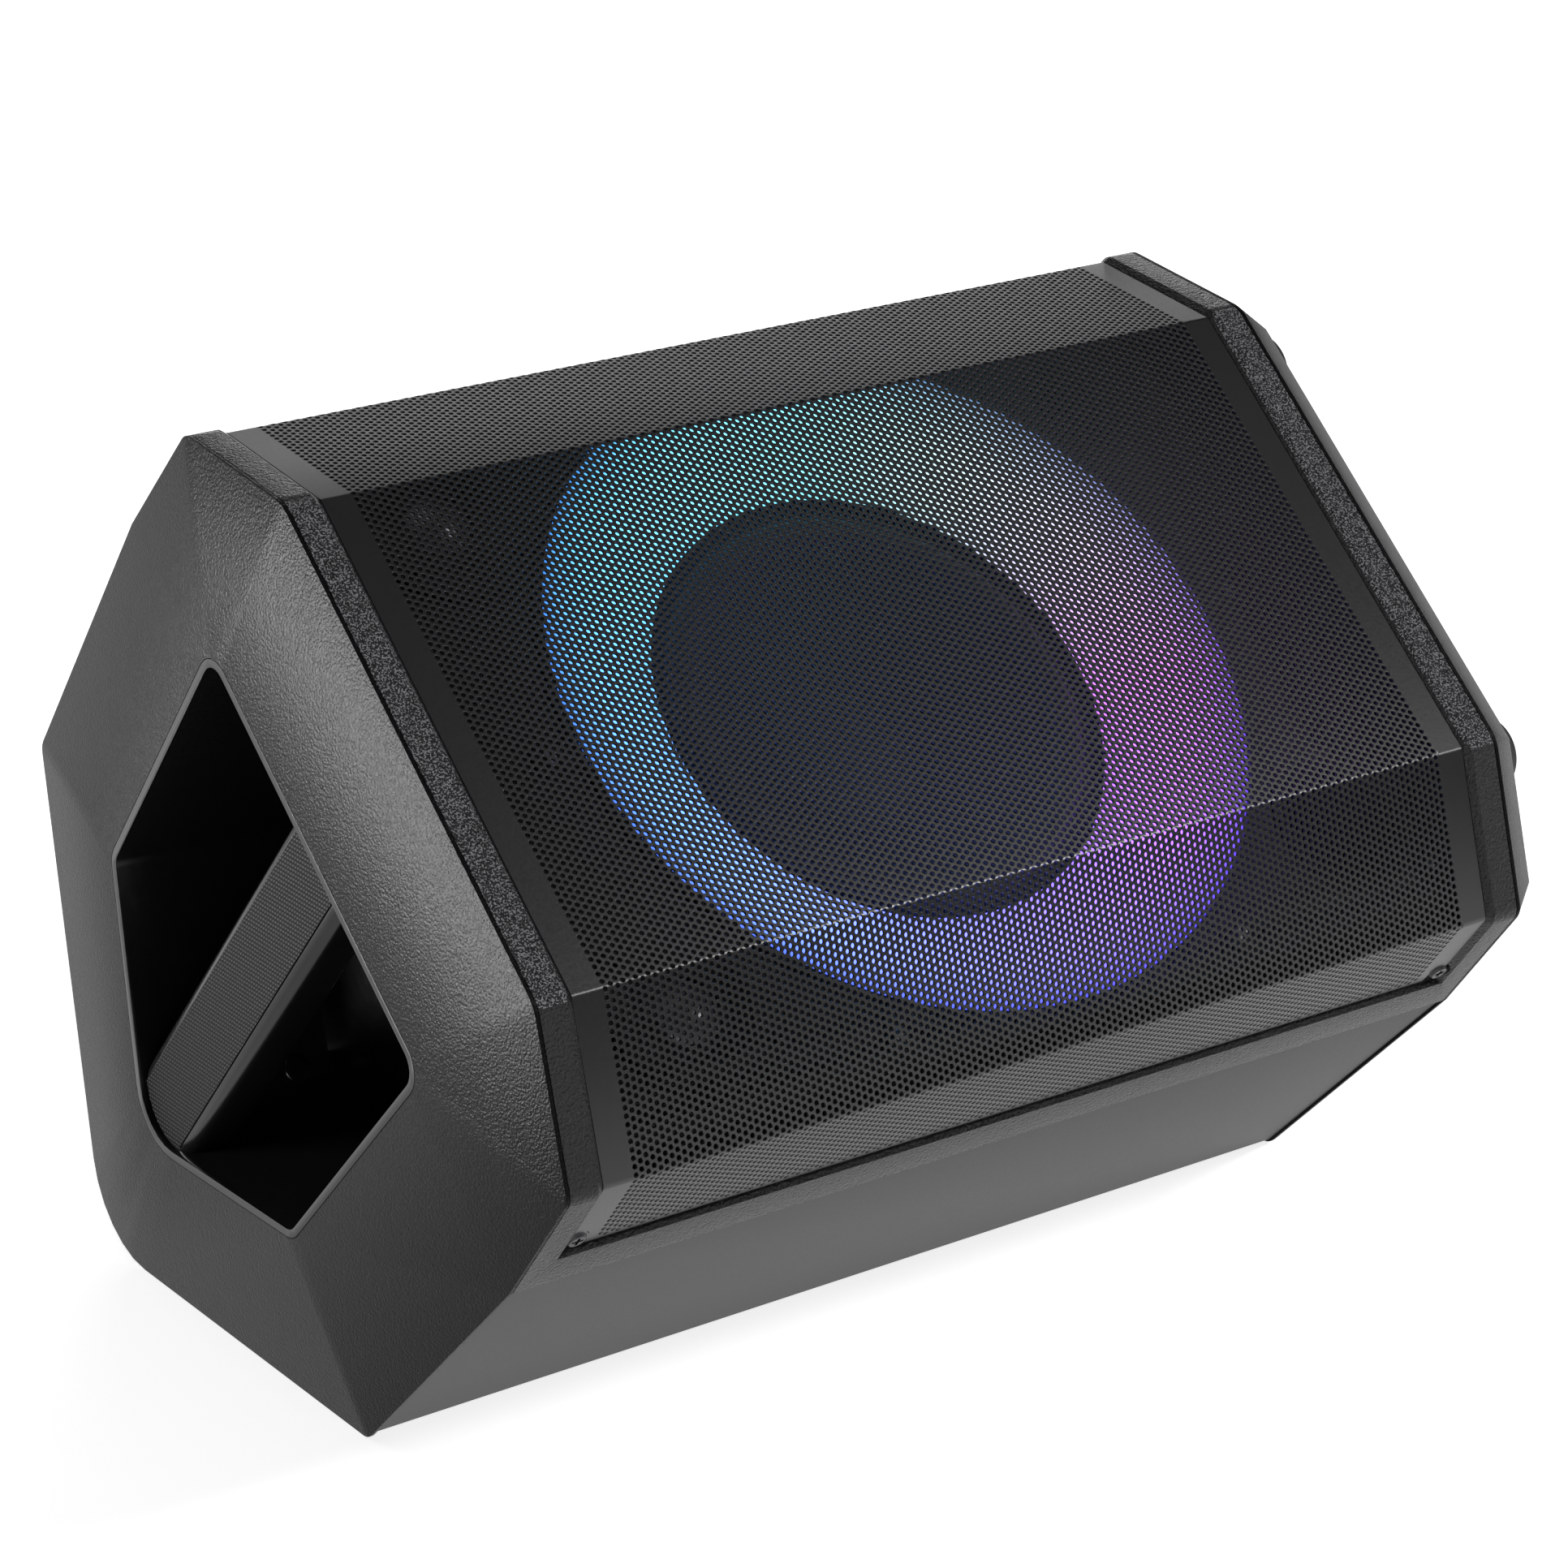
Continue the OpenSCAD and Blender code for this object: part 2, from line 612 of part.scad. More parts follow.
module ring_housing() color("#232326") difference() {
    union() {
        translate([woofer_x, 0, 0]) rotate(30) rotate_extrude() polygon([[ring_in_r, lens_z - trough],
            [housing_r, lens_z - trough], [housing_r, baffle_z + 2], [ring_r + 0.3, baffle_z + 2],
            [ring_r + 0.3, lens_under(ring_r)], [ring_r, lens_under(ring_r)],
            [ring_r - 2, lens_under(ring_r - 2)], [ring_r - 2, lens_z - trough + 3],
            [ring_in_r + 2, lens_z - trough + 3], [ring_in_r + 2, lens_under(ring_in_r + 2)],
            [ring_in_r, lens_under(ring_in_r)]]);
        at_ring_screws(baffle_z) {
            cylinder(r = ear_r, h = 1.8);
            translate([housing_r - ring_screw_r - 1, 1 - ear_r, 0])
                cube([ring_screw_r - housing_r + 1, 2 * ear_r - 2, 1.8]);
        }
    }
    at_ring_screws(baffle_z - 1) cylinder(r = thread_r + 0.1, h = 4);
    at_woofer_screws(lens_z - trough - 1) cylinder(r = thread_r + 0.1, h = 10);
}

module ring_board() color("#e8e8e0") {
    translate([woofer_x, 0, lens_z - trough + 3]) {
        difference() {
            cylinder(r = ring_r - 5, h = 1.6);
            translate([0, 0, -1]) cylinder(r = ring_in_r + 13, h = 4);
        }
        for (i = [0:35]) rotate(10 * i) translate([(ring_r + ring_in_r + 8) / 2 - 2.5, -2.5, 1.6 - eps])
            cube([5, 5, 1.6]);
    }
}

module ring_lens() color("#7fd8ff") translate([woofer_x, 0, 0]) rotate_extrude() polygon([
    [ring_in_r, lens_z - lens_t], [ring_r, baffle_z - lens_t], [ring_r, baffle_z],
    [ring_in_r, lens_z]]);

module ring_screws() color("#5a5b5e") at_ring_screws(baffle_z + 1.8) screw(3.2, 2.2, baffle_t);

// ---- Woofer ----

gasket_t = 1;
seat_z = lens_z - trough - gasket_t;        // front of the basket's flange
flange_r = ring_in_r + 12;
flange_t = 3;
roll_out = ring_in_r - 6.5;                 // outer edge of the surround's roll
surround_in_r = roll_out - surround_w;
gap = 0.8;                                  // voice coil to magnet parts
winding = 0.8;
pot_z = seat_z - cone_d - 14;               // back of the basket
plate_t = 6;
spider_r = 52;
spider_z = pot_z + 9;
module woofer() translate([woofer_x, 0, 0]) children();
module turned(points) rotate_extrude() polygon(points);
module at_woofer_screws(z) for (i = [0:7]) translate([woofer_x, 0, z]) rotate(45 * i + 22.5)
    translate([ring_in_r + 6.5, 0, 0]) children();

module woofer_gasket() color("#1a1a1a") difference() {
    woofer() turned([[ring_in_r + 0.5, seat_z], [flange_r, seat_z], [flange_r, seat_z + gasket_t],
        [ring_in_r + 0.5, seat_z + gasket_t]]);
    at_woofer_screws(seat_z - 1) cylinder(r = thread_r + 0.2, h = 4);
}

module woofer_basket() color("#2a2b2d") difference() {
    woofer() difference() {
        turned([[roll_out, seat_z - flange_t], [roll_out, seat_z], [flange_r, seat_z],
            [flange_r, seat_z - flange_t], [roll_out + 3, seat_z - flange_t],
            [spider_r + 3, spider_z], [spider_r + 3, pot_z], [coil_r + winding + gap, pot_z],
            [coil_r + winding + gap, pot_z + 2], [spider_r - 3, pot_z + 2], [spider_r - 3, spider_z - 1],
            [spider_r + 0.8, spider_z - 1]]);
        for (i = [0:5]) rotate(60 * i) translate([spider_r - 10, -15, spider_z + 4])
            cube([roll_out - spider_r + 20, 30, cone_d - 14]);
    }
    at_woofer_screws(seat_z - flange_t - 1) cylinder(r = thread_r + 0.1, h = flange_t + 2);
}

roll_mid = (surround_in_r + roll_out) / 2;
roll_r = (roll_out - surround_in_r) / 2;
rubber = 0.9;
module woofer_surround() color("#3b3b46") woofer() rotate_extrude() {
    translate([roll_mid, seat_z]) intersection() {
        difference() {
            circle(roll_r + rubber);
            circle(roll_r);
        }
        translate([-2 * roll_r, 0]) square([4 * roll_r, 2 * roll_r]);
    }
    translate([roll_out, seat_z]) square([5, rubber]);
    translate([surround_in_r - 3.5, seat_z]) square([3.5, rubber]);
}

module woofer_cone() color("#3c3d3f") woofer() turned([[surround_in_r - 4, seat_z],
    [surround_in_r - 0.2, seat_z], [surround_in_r - 0.2, seat_z - 1.4],
    [coil_r + 1.4, seat_z - cone_d - 1.4], [coil_r + 0.05, seat_z - cone_d - 1.4],
    [coil_r + 0.05, seat_z - cone_d]]);

// a shallow dome: the piece of a spherical shell over radius r with height h
module dome(r, h, t) let (R = (r * r + h * h) / (2 * h), n = 24, a = asin(r / R)) turned(concat(
    [for (i = [0:n]) [R * sin(a * i / n), h - R + R * cos(a * i / n)]],
    [for (i = [n:-1:0]) [(R - t) * sin(a * i / n), h - R + (R - t) * cos(a * i / n)]]));

cap_z = seat_z - cone_d + (cap_r - coil_r) * cone_d / (surround_in_r - 4 - coil_r) + 0.1;
module woofer_dust_cap() color("#2f3032") woofer() translate([0, 0, cap_z]) dome(cap_r, 7, 1);

module woofer_spider() color("#b08d57") woofer() let (r0 = coil_r + 0.1, n = 60) turned(concat(
    [for (i = [0:n]) [r0 + (spider_r - r0) * i / n, spider_z + 0.6 + 0.8 * sin(360 * 4 * i / n)]],
    [for (i = [n:-1:0]) [r0 + (spider_r - r0) * i / n, spider_z + 0.8 * sin(360 * 4 * i / n)]]));

module voice_coil() color("#b5652b") woofer() turned([[coil_r - 0.7, pot_z - plate_t - 3],
    [coil_r + winding, pot_z - plate_t - 3], [coil_r + winding, pot_z + 3], [coil_r, pot_z + 3],
    [coil_r, seat_z - cone_d + 1], [coil_r - 0.7, seat_z - cone_d + 1]]);

module woofer_top_plate() color("#7d7f82") woofer() turned([[coil_r + winding + gap, pot_z - plate_t],
    [magnet_r - 6, pot_z - plate_t], [magnet_r - 6, pot_z], [coil_r + winding + gap, pot_z]]);

magnet_z = pot_z - plate_t - magnet_t;
module woofer_magnet() color("#3f4042") woofer() turned([[coil_r + 9, magnet_z], [magnet_r, magnet_z],
    [magnet_r, magnet_z + magnet_t], [coil_r + 9, magnet_z + magnet_t]]);

module woofer_pole_plate() color("#7d7f82") woofer() turned([[5, magnet_z - plate_t],
    [magnet_r - 4, magnet_z - plate_t], [magnet_r - 4, magnet_z], [coil_r - 0.7 - gap, magnet_z],
    [coil_r - 0.7 - gap, pot_z], [5, pot_z]]);

module woofer_screws() color("#5a5b5e") at_woofer_screws(seat_z - flange_t) rotate([180, 0, 0])
    screw(3, 2, 6.5);

// ---- Tweeters and ports ----

plate_r = tweeter_r;
plate_h = 2.5;
motor_z = baffle_z - 4.5;
module at_tweeter(z) translate([tweeter_x, corner_y, z]) children();
module tweeter_screw_places() for (a = [0, 90, 180, 270]) rotate(a + 45)
    translate([(tweeter_hole + plate_r) / 2 + 0.5, 0, 0]) children();
module tweeter_plate() color("#2c2d30") at_tweeter(0) difference() {
    turned([[dome_r + 1, motor_z], [tweeter_hole - fit, motor_z], [tweeter_hole - fit, baffle_z],
        [plate_r, baffle_z], [plate_r, baffle_z + plate_h], [tweeter_hole - 2, baffle_z + plate_h],
        [dome_r + 3, motor_z + 1.5], [dome_r + 1, motor_z + 1.5]]);
    tweeter_screw_places() translate([0, 0, baffle_z - 1]) cylinder(r = thread_r + 0.1, h = 5);
}
module tweeter_dome() color("#8e9096") at_tweeter(motor_z + 0.6) dome(dome_r, dome_r * 0.42, 0.6);
module tweeter_motor() color("#4a4b4e") at_tweeter(motor_z - 20) cylinder(r = dome_r + 5, h = 20);
module lower() mirror([0, 1, 0]) children();
module tweeter_plate_upper() tweeter_plate();
module tweeter_plate_lower() lower() tweeter_plate();
module tweeter_dome_upper() tweeter_dome();
module tweeter_dome_lower() lower() tweeter_dome();
module tweeter_motor_upper() tweeter_motor();
module tweeter_motor_lower() lower() tweeter_motor();

flare = port_r - port_bore;
module port() color("#1c1c1e") translate([port_centre, corner_y, 0]) turned(concat(
    [[port_bore, baffle_z - port_len], [port_bore + 2.5, baffle_z - port_len],
    [port_bore + 2.5, baffle_z], [port_r, baffle_z]],
    [for (i = [0:8]) [port_r - flare * sin(i * 11.25), baffle_z + 2.5 - flare + flare * cos(i * 11.25)]]));
module port_upper() port();
module port_lower() lower() port();

// ---- Rear panel: rear() has its zero on the cabinet's surface ----

panel_u = back_len / 2 + 3;
flange_w = 6;
tray_t = 2.5;
module panel(x, y) rear(panel_x, panel_u) translate([x, y, -panel_d]) children();
module panel_box(w, h, z0, z1) rear(panel_x, panel_u) translate([-w / 2, -h / 2, z0]) cube([w, h, z1 - z0]);
tray_w = panel_w - 2 * flange_w;
tray_h = panel_h - 2 * flange_w;

module panel_screw_places() rear(panel_x, panel_u)
    for (x = [-1, 1], y = [-1, 1]) translate([x * (panel_w / 2 - 3), y * (panel_h / 2 - 3), 0]) children();
module panel_hole() {
    panel_box(tray_w + 2 * fit, tray_h + 2 * fit, -wall - 8, 8);
    panel_screw_places() translate([0, 0, -wall - 8]) cylinder(r = thread_r + 0.1, h = wall + 9);
}

knob_y = -tray_h / 4;
button_y = tray_h / 4;
knob_x = [-tray_w * 0.38, -tray_w * 0.18, tray_w * 0.02];
button_x = [-tray_w * 0.41, -tray_w * 0.27, -tray_w * 0.13];
jack_x = [tray_w * 0.03, tray_w * 0.18];
aux_x = tray_w * 0.31;
inlet_at = [tray_w / 2 - 21, knob_y];
usb_at = [inlet_at.x - 31.2, knob_y];
usb_hole = [13.2, 6.4];
inlet_hole = [22, 16];
// The sockets' own plates fill the panel's lower corner: from the edge beside the knobs, split
// between the two sockets, to the tray's edge
socket_from = usb_at.x - 17;
socket_split = usb_at.x + 15.5;
socket_top = knob_y + 17;
shaft_r = 3;
stem_r = 2;

// a block of the given size, grown by d on its four sides
module block(size, d, z0, z1) translate([-size.x / 2 - d, -size.y / 2 - d, z0])
    cube([size.x + 2 * d, size.y + 2 * d, z1 - z0]);

module panel_frame() color("#2a2b2e") difference() {
    union() {
        panel_box(panel_w, panel_h, 0, 1.6);
        panel_box(tray_w, tray_h, -panel_d, 1);
    }
    panel_box(tray_w - 2 * tray_t, tray_h - 2 * tray_t, -panel_d - 1, 3);
    panel_screw_places() translate([0, 0, -1]) cylinder(r = thread_r + 0.1, h = 4);
}

module rear_panel() color("#26272a") difference() {
    panel_box(tray_w, tray_h, -panel_d - tray_t, -panel_d);
    for (x = knob_x) panel(x, knob_y) translate([0, 0, -5]) cylinder(r = shaft_r + 0.3, h = 10);
    for (x = button_x) panel(x, button_y) translate([0, 0, -5]) cylinder(r = button_r + 0.3, h = 10);
    for (x = jack_x) panel(x, button_y) translate([0, 0, -5]) cylinder(r = jack_r + 2 + 0.1, h = 10);
    panel(aux_x, button_y) translate([0, 0, -5]) cylinder(r = jack_r * 0.56 + 2 + 0.1, h = 10);
    panel(0, 0) translate([socket_from, -tray_h, -5]) cube([tray_w, tray_h + socket_top, 10]);
}

module panel_screws() color("#5a5b5e") panel_screw_places() translate([0, 0, 1.6]) screw(2.8, 1.8, wall + 2);

module knob(x) color("#202022") panel(x, knob_y) difference() {
    union() {
        translate([0, 0, 1]) cylinder(r1 = knob_r, r2 = knob_r - 1, h = knob_h);
        translate([0, 0, -tray_t - 6]) cylinder(r = shaft_r, h = tray_t + 8);
    }
    translate([-0.6, knob_r * 0.45, knob_h - 0.2]) cube([1.2, knob_r, 2]);
}
module volume_knob() knob(knob_x[0]);
module mic_knob() knob(knob_x[1]);
module bass_knob() knob(knob_x[2]);

module button(x) color("#38393c") panel(x, button_y) union() {
    translate([0, 0, -tray_t - 0.6]) cylinder(r = button_r, h = button_h + tray_t + 0.6);
    translate([0, 0, -tray_t - 4]) cylinder(r = stem_r, h = 5);
}
module power_button() button(button_x[0]);
module light_button() button(button_x[1]);
module pairing_button() button(button_x[2]);

jack_len = 16;
module jack(x, r) panel(x, button_y) turned([[r, 1.2], [r + 2, 1.2], [r + 2, -jack_len - 2],
    [0, -jack_len - 2], [0, -jack_len], [r, -jack_len]]);
module input_jacks() color("#17171a") {
    for (x = jack_x) jack(x, jack_r);
    jack(aux_x, jack_r * 0.56);
}
module socket(p, hole, wall_t, deep, x0, x1) difference() {
    union() {
        panel(p.x, p.y) block(hole, wall_t, -deep - 2, 0);
        panel(x0, 0) translate([0, -tray_h / 2, -tray_t])
            cube([x1 - x0, tray_h / 2 + socket_top - 0.2, tray_t]);
    }
    panel(p.x, p.y) block(hole, 0, -deep, 2);
}
module usb_socket() color("#9a9ca0")
    socket(usb_at, usb_hole, 1, 14, socket_from + 0.2, socket_split - 0.1);
module mains_inlet() color("#151517") {
    socket(inlet_at, inlet_hole, 2, 14, socket_split + 0.1, tray_w / 2);
    for (x = [-4.5, 4.5]) panel(inlet_at.x + x, inlet_at.y) translate([0, 0, -15])
        cylinder(r = 1.2, h = 11);
}

// ---- Electronics ----

// The control board stands behind the sockets, on spacers in its corner holes
board_gap = 14.2;
board_z = -panel_d - tray_t - board_gap;
module board_corners() rear(panel_x, panel_u) for (x = [-1, 1], y = [-1, 1])
    translate([x * (tray_w / 2 - 8), y * (tray_h / 2 - 8), board_z]) children();
module board_plate() difference() {
    panel_box(tray_w - 8, tray_h - 8, board_z - 1.6, board_z);
    board_corners() translate([0, 0, -5]) cylinder(r = 2.6, h = 10);
    for (x = jack_x) panel(x, button_y) translate([0, 0, -jack_len - 12]) cylinder(r = jack_r + 2.6, h = 20);
    panel(aux_x, button_y) translate([0, 0, -jack_len - 12]) cylinder(r = jack_r * 0.56 + 2.6, h = 20);
}
module control_board() color("#1e5b3a") {
    board_plate();
    board_corners() translate([0, 0, -2.6]) cylinder(r = 2.5, h = 2.6 + board_gap);
}

// boxes fixed to the inside of the cabinet's lower face
module on_floor(x, u) base(x, u) translate([0, 0, -wall]) mirror([0, 0, 1]) children();
module amplifier_board() color("#23633f") on_floor(body_len - electronics_in, back_len * 0.7) {
    translate([-amplifier_w / 2, -amplifier_l / 2, 0]) cube([amplifier_w, amplifier_l, 6]);
    translate([-amplifier_w * 0.44, -amplifier_l * 0.4, 6 - eps])
        cube([amplifier_w * 0.6, amplifier_l * 0.42, 22]);
    for (y = [-amplifier_l * 0.3, amplifier_l * 0.2]) translate([amplifier_w * 0.24, y, 6 - eps])
        cylinder(r = amplifier_l * 0.17, h = 20);
}
module power_supply() color("#8d9094") on_floor(body_len - electronics_in, back_len * 0.36)
    translate([-supply_w / 2, -supply_l / 2, 0]) cube([supply_w, supply_l, supply_h]);
module battery_pack() color("#31537a") on_floor(body_len * 0.36, back_len * 0.52)
    translate([-battery_w / 2, -battery_l / 2, 0]) cube([battery_w, battery_l, battery_h]);

stand() rear_cabinet();
stand() front_frame();
stand() handle_end_cap();
stand() foot_end_cap();
stand() grille();
stand() grille_screws();
stand() frame_screws();
stand() handle_cap_screws();
stand() handle_cup();
stand() handle_bar();
stand() handle_grip();
stand() handle_screws();
stand() foot_front_upper();
stand() foot_front_lower();
stand() foot_back_upper();
stand() foot_back_lower();
stand() foot_screws();
stand() base_pad_front();
stand() base_pad_rear();
stand() baffle();
stand() baffle_screws();
stand() ring_housing();
stand() ring_board();
stand() ring_lens();
stand() ring_screws();
stand() woofer_basket();
stand() woofer_gasket();
stand() woofer_surround();
stand() woofer_cone();
stand() woofer_dust_cap();
stand() woofer_spider();
stand() voice_coil();
stand() woofer_top_plate();
stand() woofer_magnet();
stand() woofer_pole_plate();
stand() woofer_screws();
stand() tweeter_plate_upper();
stand() tweeter_plate_lower();
stand() tweeter_dome_upper();
stand() tweeter_dome_lower();
stand() tweeter_motor_upper();
stand() tweeter_motor_lower();
stand() port_upper();
stand() port_lower();
stand() panel_frame();
stand() rear_panel();
stand() panel_screws();
stand() volume_knob();
stand() mic_knob();
stand() bass_knob();
stand() power_button();
stand() light_button();
stand() pairing_button();
stand() input_jacks();
stand() usb_socket();
stand() mains_inlet();
stand() control_board();
stand() amplifier_board();
stand() power_supply();
stand() battery_pack();
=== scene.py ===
import json
import math

import bmesh
import bpy
import numpy as np
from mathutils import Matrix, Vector
from mathutils.bvhtree import BVHTree


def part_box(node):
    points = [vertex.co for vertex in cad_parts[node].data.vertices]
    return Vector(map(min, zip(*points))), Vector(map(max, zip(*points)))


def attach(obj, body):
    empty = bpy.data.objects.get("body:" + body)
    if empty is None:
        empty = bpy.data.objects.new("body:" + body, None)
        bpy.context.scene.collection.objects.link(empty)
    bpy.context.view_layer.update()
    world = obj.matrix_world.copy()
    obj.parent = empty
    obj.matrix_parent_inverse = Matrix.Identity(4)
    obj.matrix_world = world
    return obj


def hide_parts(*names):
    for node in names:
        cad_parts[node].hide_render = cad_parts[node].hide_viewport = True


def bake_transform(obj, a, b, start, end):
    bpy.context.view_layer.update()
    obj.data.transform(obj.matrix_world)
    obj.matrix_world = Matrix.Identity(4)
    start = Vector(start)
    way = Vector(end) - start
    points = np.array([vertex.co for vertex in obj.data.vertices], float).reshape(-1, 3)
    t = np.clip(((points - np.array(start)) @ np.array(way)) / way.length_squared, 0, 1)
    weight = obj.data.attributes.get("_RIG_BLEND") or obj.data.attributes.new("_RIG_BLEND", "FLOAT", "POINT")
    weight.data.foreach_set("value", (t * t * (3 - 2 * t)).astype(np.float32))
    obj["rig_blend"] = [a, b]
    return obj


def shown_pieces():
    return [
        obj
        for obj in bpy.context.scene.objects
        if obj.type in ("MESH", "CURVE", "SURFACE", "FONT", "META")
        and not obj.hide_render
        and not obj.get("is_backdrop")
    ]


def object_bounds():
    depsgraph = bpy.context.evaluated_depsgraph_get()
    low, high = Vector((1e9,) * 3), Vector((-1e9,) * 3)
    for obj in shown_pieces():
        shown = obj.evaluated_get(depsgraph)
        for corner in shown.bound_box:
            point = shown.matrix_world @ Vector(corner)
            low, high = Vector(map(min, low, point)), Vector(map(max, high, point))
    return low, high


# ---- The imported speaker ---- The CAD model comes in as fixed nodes, in metres.
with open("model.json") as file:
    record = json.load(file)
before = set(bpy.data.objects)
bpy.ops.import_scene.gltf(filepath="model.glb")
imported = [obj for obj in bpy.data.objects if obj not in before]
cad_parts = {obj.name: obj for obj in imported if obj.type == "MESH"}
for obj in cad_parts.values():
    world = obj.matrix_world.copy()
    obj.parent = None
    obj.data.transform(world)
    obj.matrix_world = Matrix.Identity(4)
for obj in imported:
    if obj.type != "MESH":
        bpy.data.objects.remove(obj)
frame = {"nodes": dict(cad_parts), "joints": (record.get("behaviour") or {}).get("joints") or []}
nodes = frame["nodes"]
cad_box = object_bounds()

# ---- Camera ----
# Stands to the front left of the speaker and looks down at it, level and unshifted. Its
# numbers are given, settled by points in the photograph; image points are at a long side of 1568.
IMAGE_W, IMAGE_H = 1568, 1568
camera_place = Vector((-1.0500, -1.4555, 0.8849))
camera_aim = Vector((-0.0160, -0.0145, 0.2030))
lens_mm, sensor_mm = 112.45, 36.0

camera_data = bpy.data.cameras.new("camera")
camera_data.lens = lens_mm
camera_data.sensor_width = sensor_mm
camera_data.sensor_fit = "AUTO"
camera_data.clip_start, camera_data.clip_end = 0.05, 60.0
camera = bpy.data.objects.new("camera", camera_data)
camera.location = camera_place
camera.rotation_euler = (camera_aim - camera_place).to_track_quat("-Z", "Y").to_euler()
bpy.context.scene.collection.objects.link(camera)
bpy.context.scene.camera = camera
bpy.context.view_layer.update()


def in_image(points):
    """Image x, y of world points: camera axes, then the pinhole's similar triangles."""
    turn = np.array(camera.matrix_world.to_3x3())
    seen = (np.atleast_2d(points) - np.array(camera_place)) @ turn
    scale = max(IMAGE_W, IMAGE_H) * lens_mm / sensor_mm
    x = IMAGE_W / 2 + scale * seen[:, 0] / -seen[:, 2]
    y = IMAGE_H / 2 - scale * seen[:, 1] / -seen[:, 2]
    return np.stack([x, y], 1)


def on_view(x, y, *carriers):
    """World place and normal where an image point's ray meets the finished carriers.

    In the camera's axes the ray is (x - W/2 + shift_x*L, H/2 - y + shift_y*L, -L*lens/sensor),
    L being the longer side. A ray that misses takes the carriers' place nearest to it."""
    longer = max(IMAGE_W, IMAGE_H)
    ray = Vector((x - IMAGE_W / 2 + camera_data.shift_x * longer,
                  IMAGE_H / 2 - y + camera_data.shift_y * longer,
                  -longer * lens_mm / sensor_mm))
    ray = (camera.matrix_world.to_3x3() @ ray).normalized()
    evaluated = bpy.context.evaluated_depsgraph_get()
    vertices, polygons = [], []
    for carrier in carriers:
        mesh = carrier.evaluated_get(evaluated).to_mesh()
        polygons += [[len(vertices) + v for v in polygon.vertices] for polygon in mesh.polygons]
        vertices += [carrier.matrix_world @ v.co for v in mesh.vertices]
    tree = BVHTree.FromPolygons(vertices, polygons)
    place, normal, _, _ = tree.ray_cast(camera_place, ray)
    if place is None:
        along_ray = [camera_place + ray * distance for distance in np.linspace(0.5, 3.5, 400)]
        place, normal, _, _ = min(map(tree.find_nearest, along_ray), key=lambda hit: hit[3])
    return np.array(place), np.array(normal)


# ---- Floor and studio light ----
# A pale, glowing sheet under the speaker in a dim room. A large soft light hangs overhead, and
# softboxes stand behind the top edge, in front of the folds, over the face and low in front.
def mesh_object(name, vertices, faces, smooth=False):
    """A new object from arrays of vertices and faces, linked at the origin."""
    mesh = bpy.data.meshes.new(name)
    mesh.from_pydata(np.asarray(vertices).tolist(), [], [list(f) for f in faces])
    mesh.polygons.foreach_set("use_smooth", [smooth] * len(mesh.polygons))
    made = bpy.data.objects.new(name, mesh)
    bpy.context.scene.collection.objects.link(made)
    return made


class Wire:
    """A socket of a material. Python's operators on it add Math nodes."""

    def __init__(self, paint, socket):
        self.paint = paint
        self.socket = socket

    def math(self, operation, *operands):
        values = dict(enumerate(operands))
        return self.paint.node("ShaderNodeMath", {"operation": operation}, values)

    def __add__(self, other):
        return self.math("ADD", self, other)

    def __mul__(self, other):
        return self.math("MULTIPLY", self, other)

    def __sub__(self, other):
        return self.math("SUBTRACT", self, other)

    def __rsub__(self, other):
        return self.math("SUBTRACT", other, self)

    def __truediv__(self, other):
        return self.math("DIVIDE", self, other)

    def __gt__(self, other):
        return self.math("GREATER_THAN", self, other)

    __radd__ = __add__
    __rmul__ = __mul__


class Paint:
    """A material: constants go on its shader's own sockets, and nodes feed the rest."""

    def __init__(self, name, **constants):
        self.material = bpy.data.materials.new(name)
        self.material.use_nodes = True
        self.tree = self.material.node_tree
        self.shader = self.tree.nodes["Principled BSDF"]
        for socket, value in constants.items():
            self.shader.inputs[socket.replace("_", " ")].default_value = value

    def node(self, kind, settings=None, inputs=None, output=0):
        """A node of that type: its settings first, then values or links for its sockets."""
        made = self.tree.nodes.new(kind)
        for name, value in (settings or {}).items():
            if name == "stops":
                ramp = made.color_ramp
                while len(ramp.elements) < len(value):
                    ramp.elements.new(0.5)
                for element, (place, colour) in zip(ramp.elements, value):
                    element.position = place
                    element.color = (*colour, 1)
            else:
                setattr(made, name, value)
        for name, value in (inputs or {}).items():
            if isinstance(value, Wire):
                self.tree.links.new(value.socket, made.inputs[name])
            else:
                made.inputs[name].default_value = value
        return Wire(self, made.outputs[output])

    def place(self):
        return self.node("ShaderNodeTexCoord", output="Object")

    def noise(self, size, detail):
        """Soft random values round 0.5, in spots of about that size in metres."""
        values = {"Vector": self.place(), "Scale": 1 / size, "Detail": detail}
        return self.node("ShaderNodeTexNoise", None, values, "Fac")

    def cells(self, size, feature="F1", randomness=1.0):
        """Distance from cell centres, random or in a square lattice, of that size in metres."""
        values = {"Vector": self.place(), "Scale": 1 / size, "Randomness": randomness}
        return self.node("ShaderNodeTexVoronoi", {"feature": feature}, values, "Distance")

    def feed(self, socket, wire):
        self.tree.links.new(wire.socket, self.shader.inputs[socket])

    def bump(self, height, depth):
        values = {"Height": height, "Distance": depth, "Strength": 1.0}
        self.feed("Normal", self.node("ShaderNodeBump", None, values, "Normal"))

    def blend(self, socket, factor, low, high):
        """Colour from low to high as factor goes from 0 to 1."""
        stops = {"stops": [(0.0, low), (1.0, high)]}
        self.feed(socket, self.node("ShaderNodeValToRGB", stops, {"Fac": factor}, "Color"))


def dress(paint, *names):
    """Gives CAD nodes or new pieces this material."""
    for name in names:
        piece = nodes[name] if isinstance(name, str) else name
        piece.data.materials.clear()
        piece.data.materials.append(paint.material)


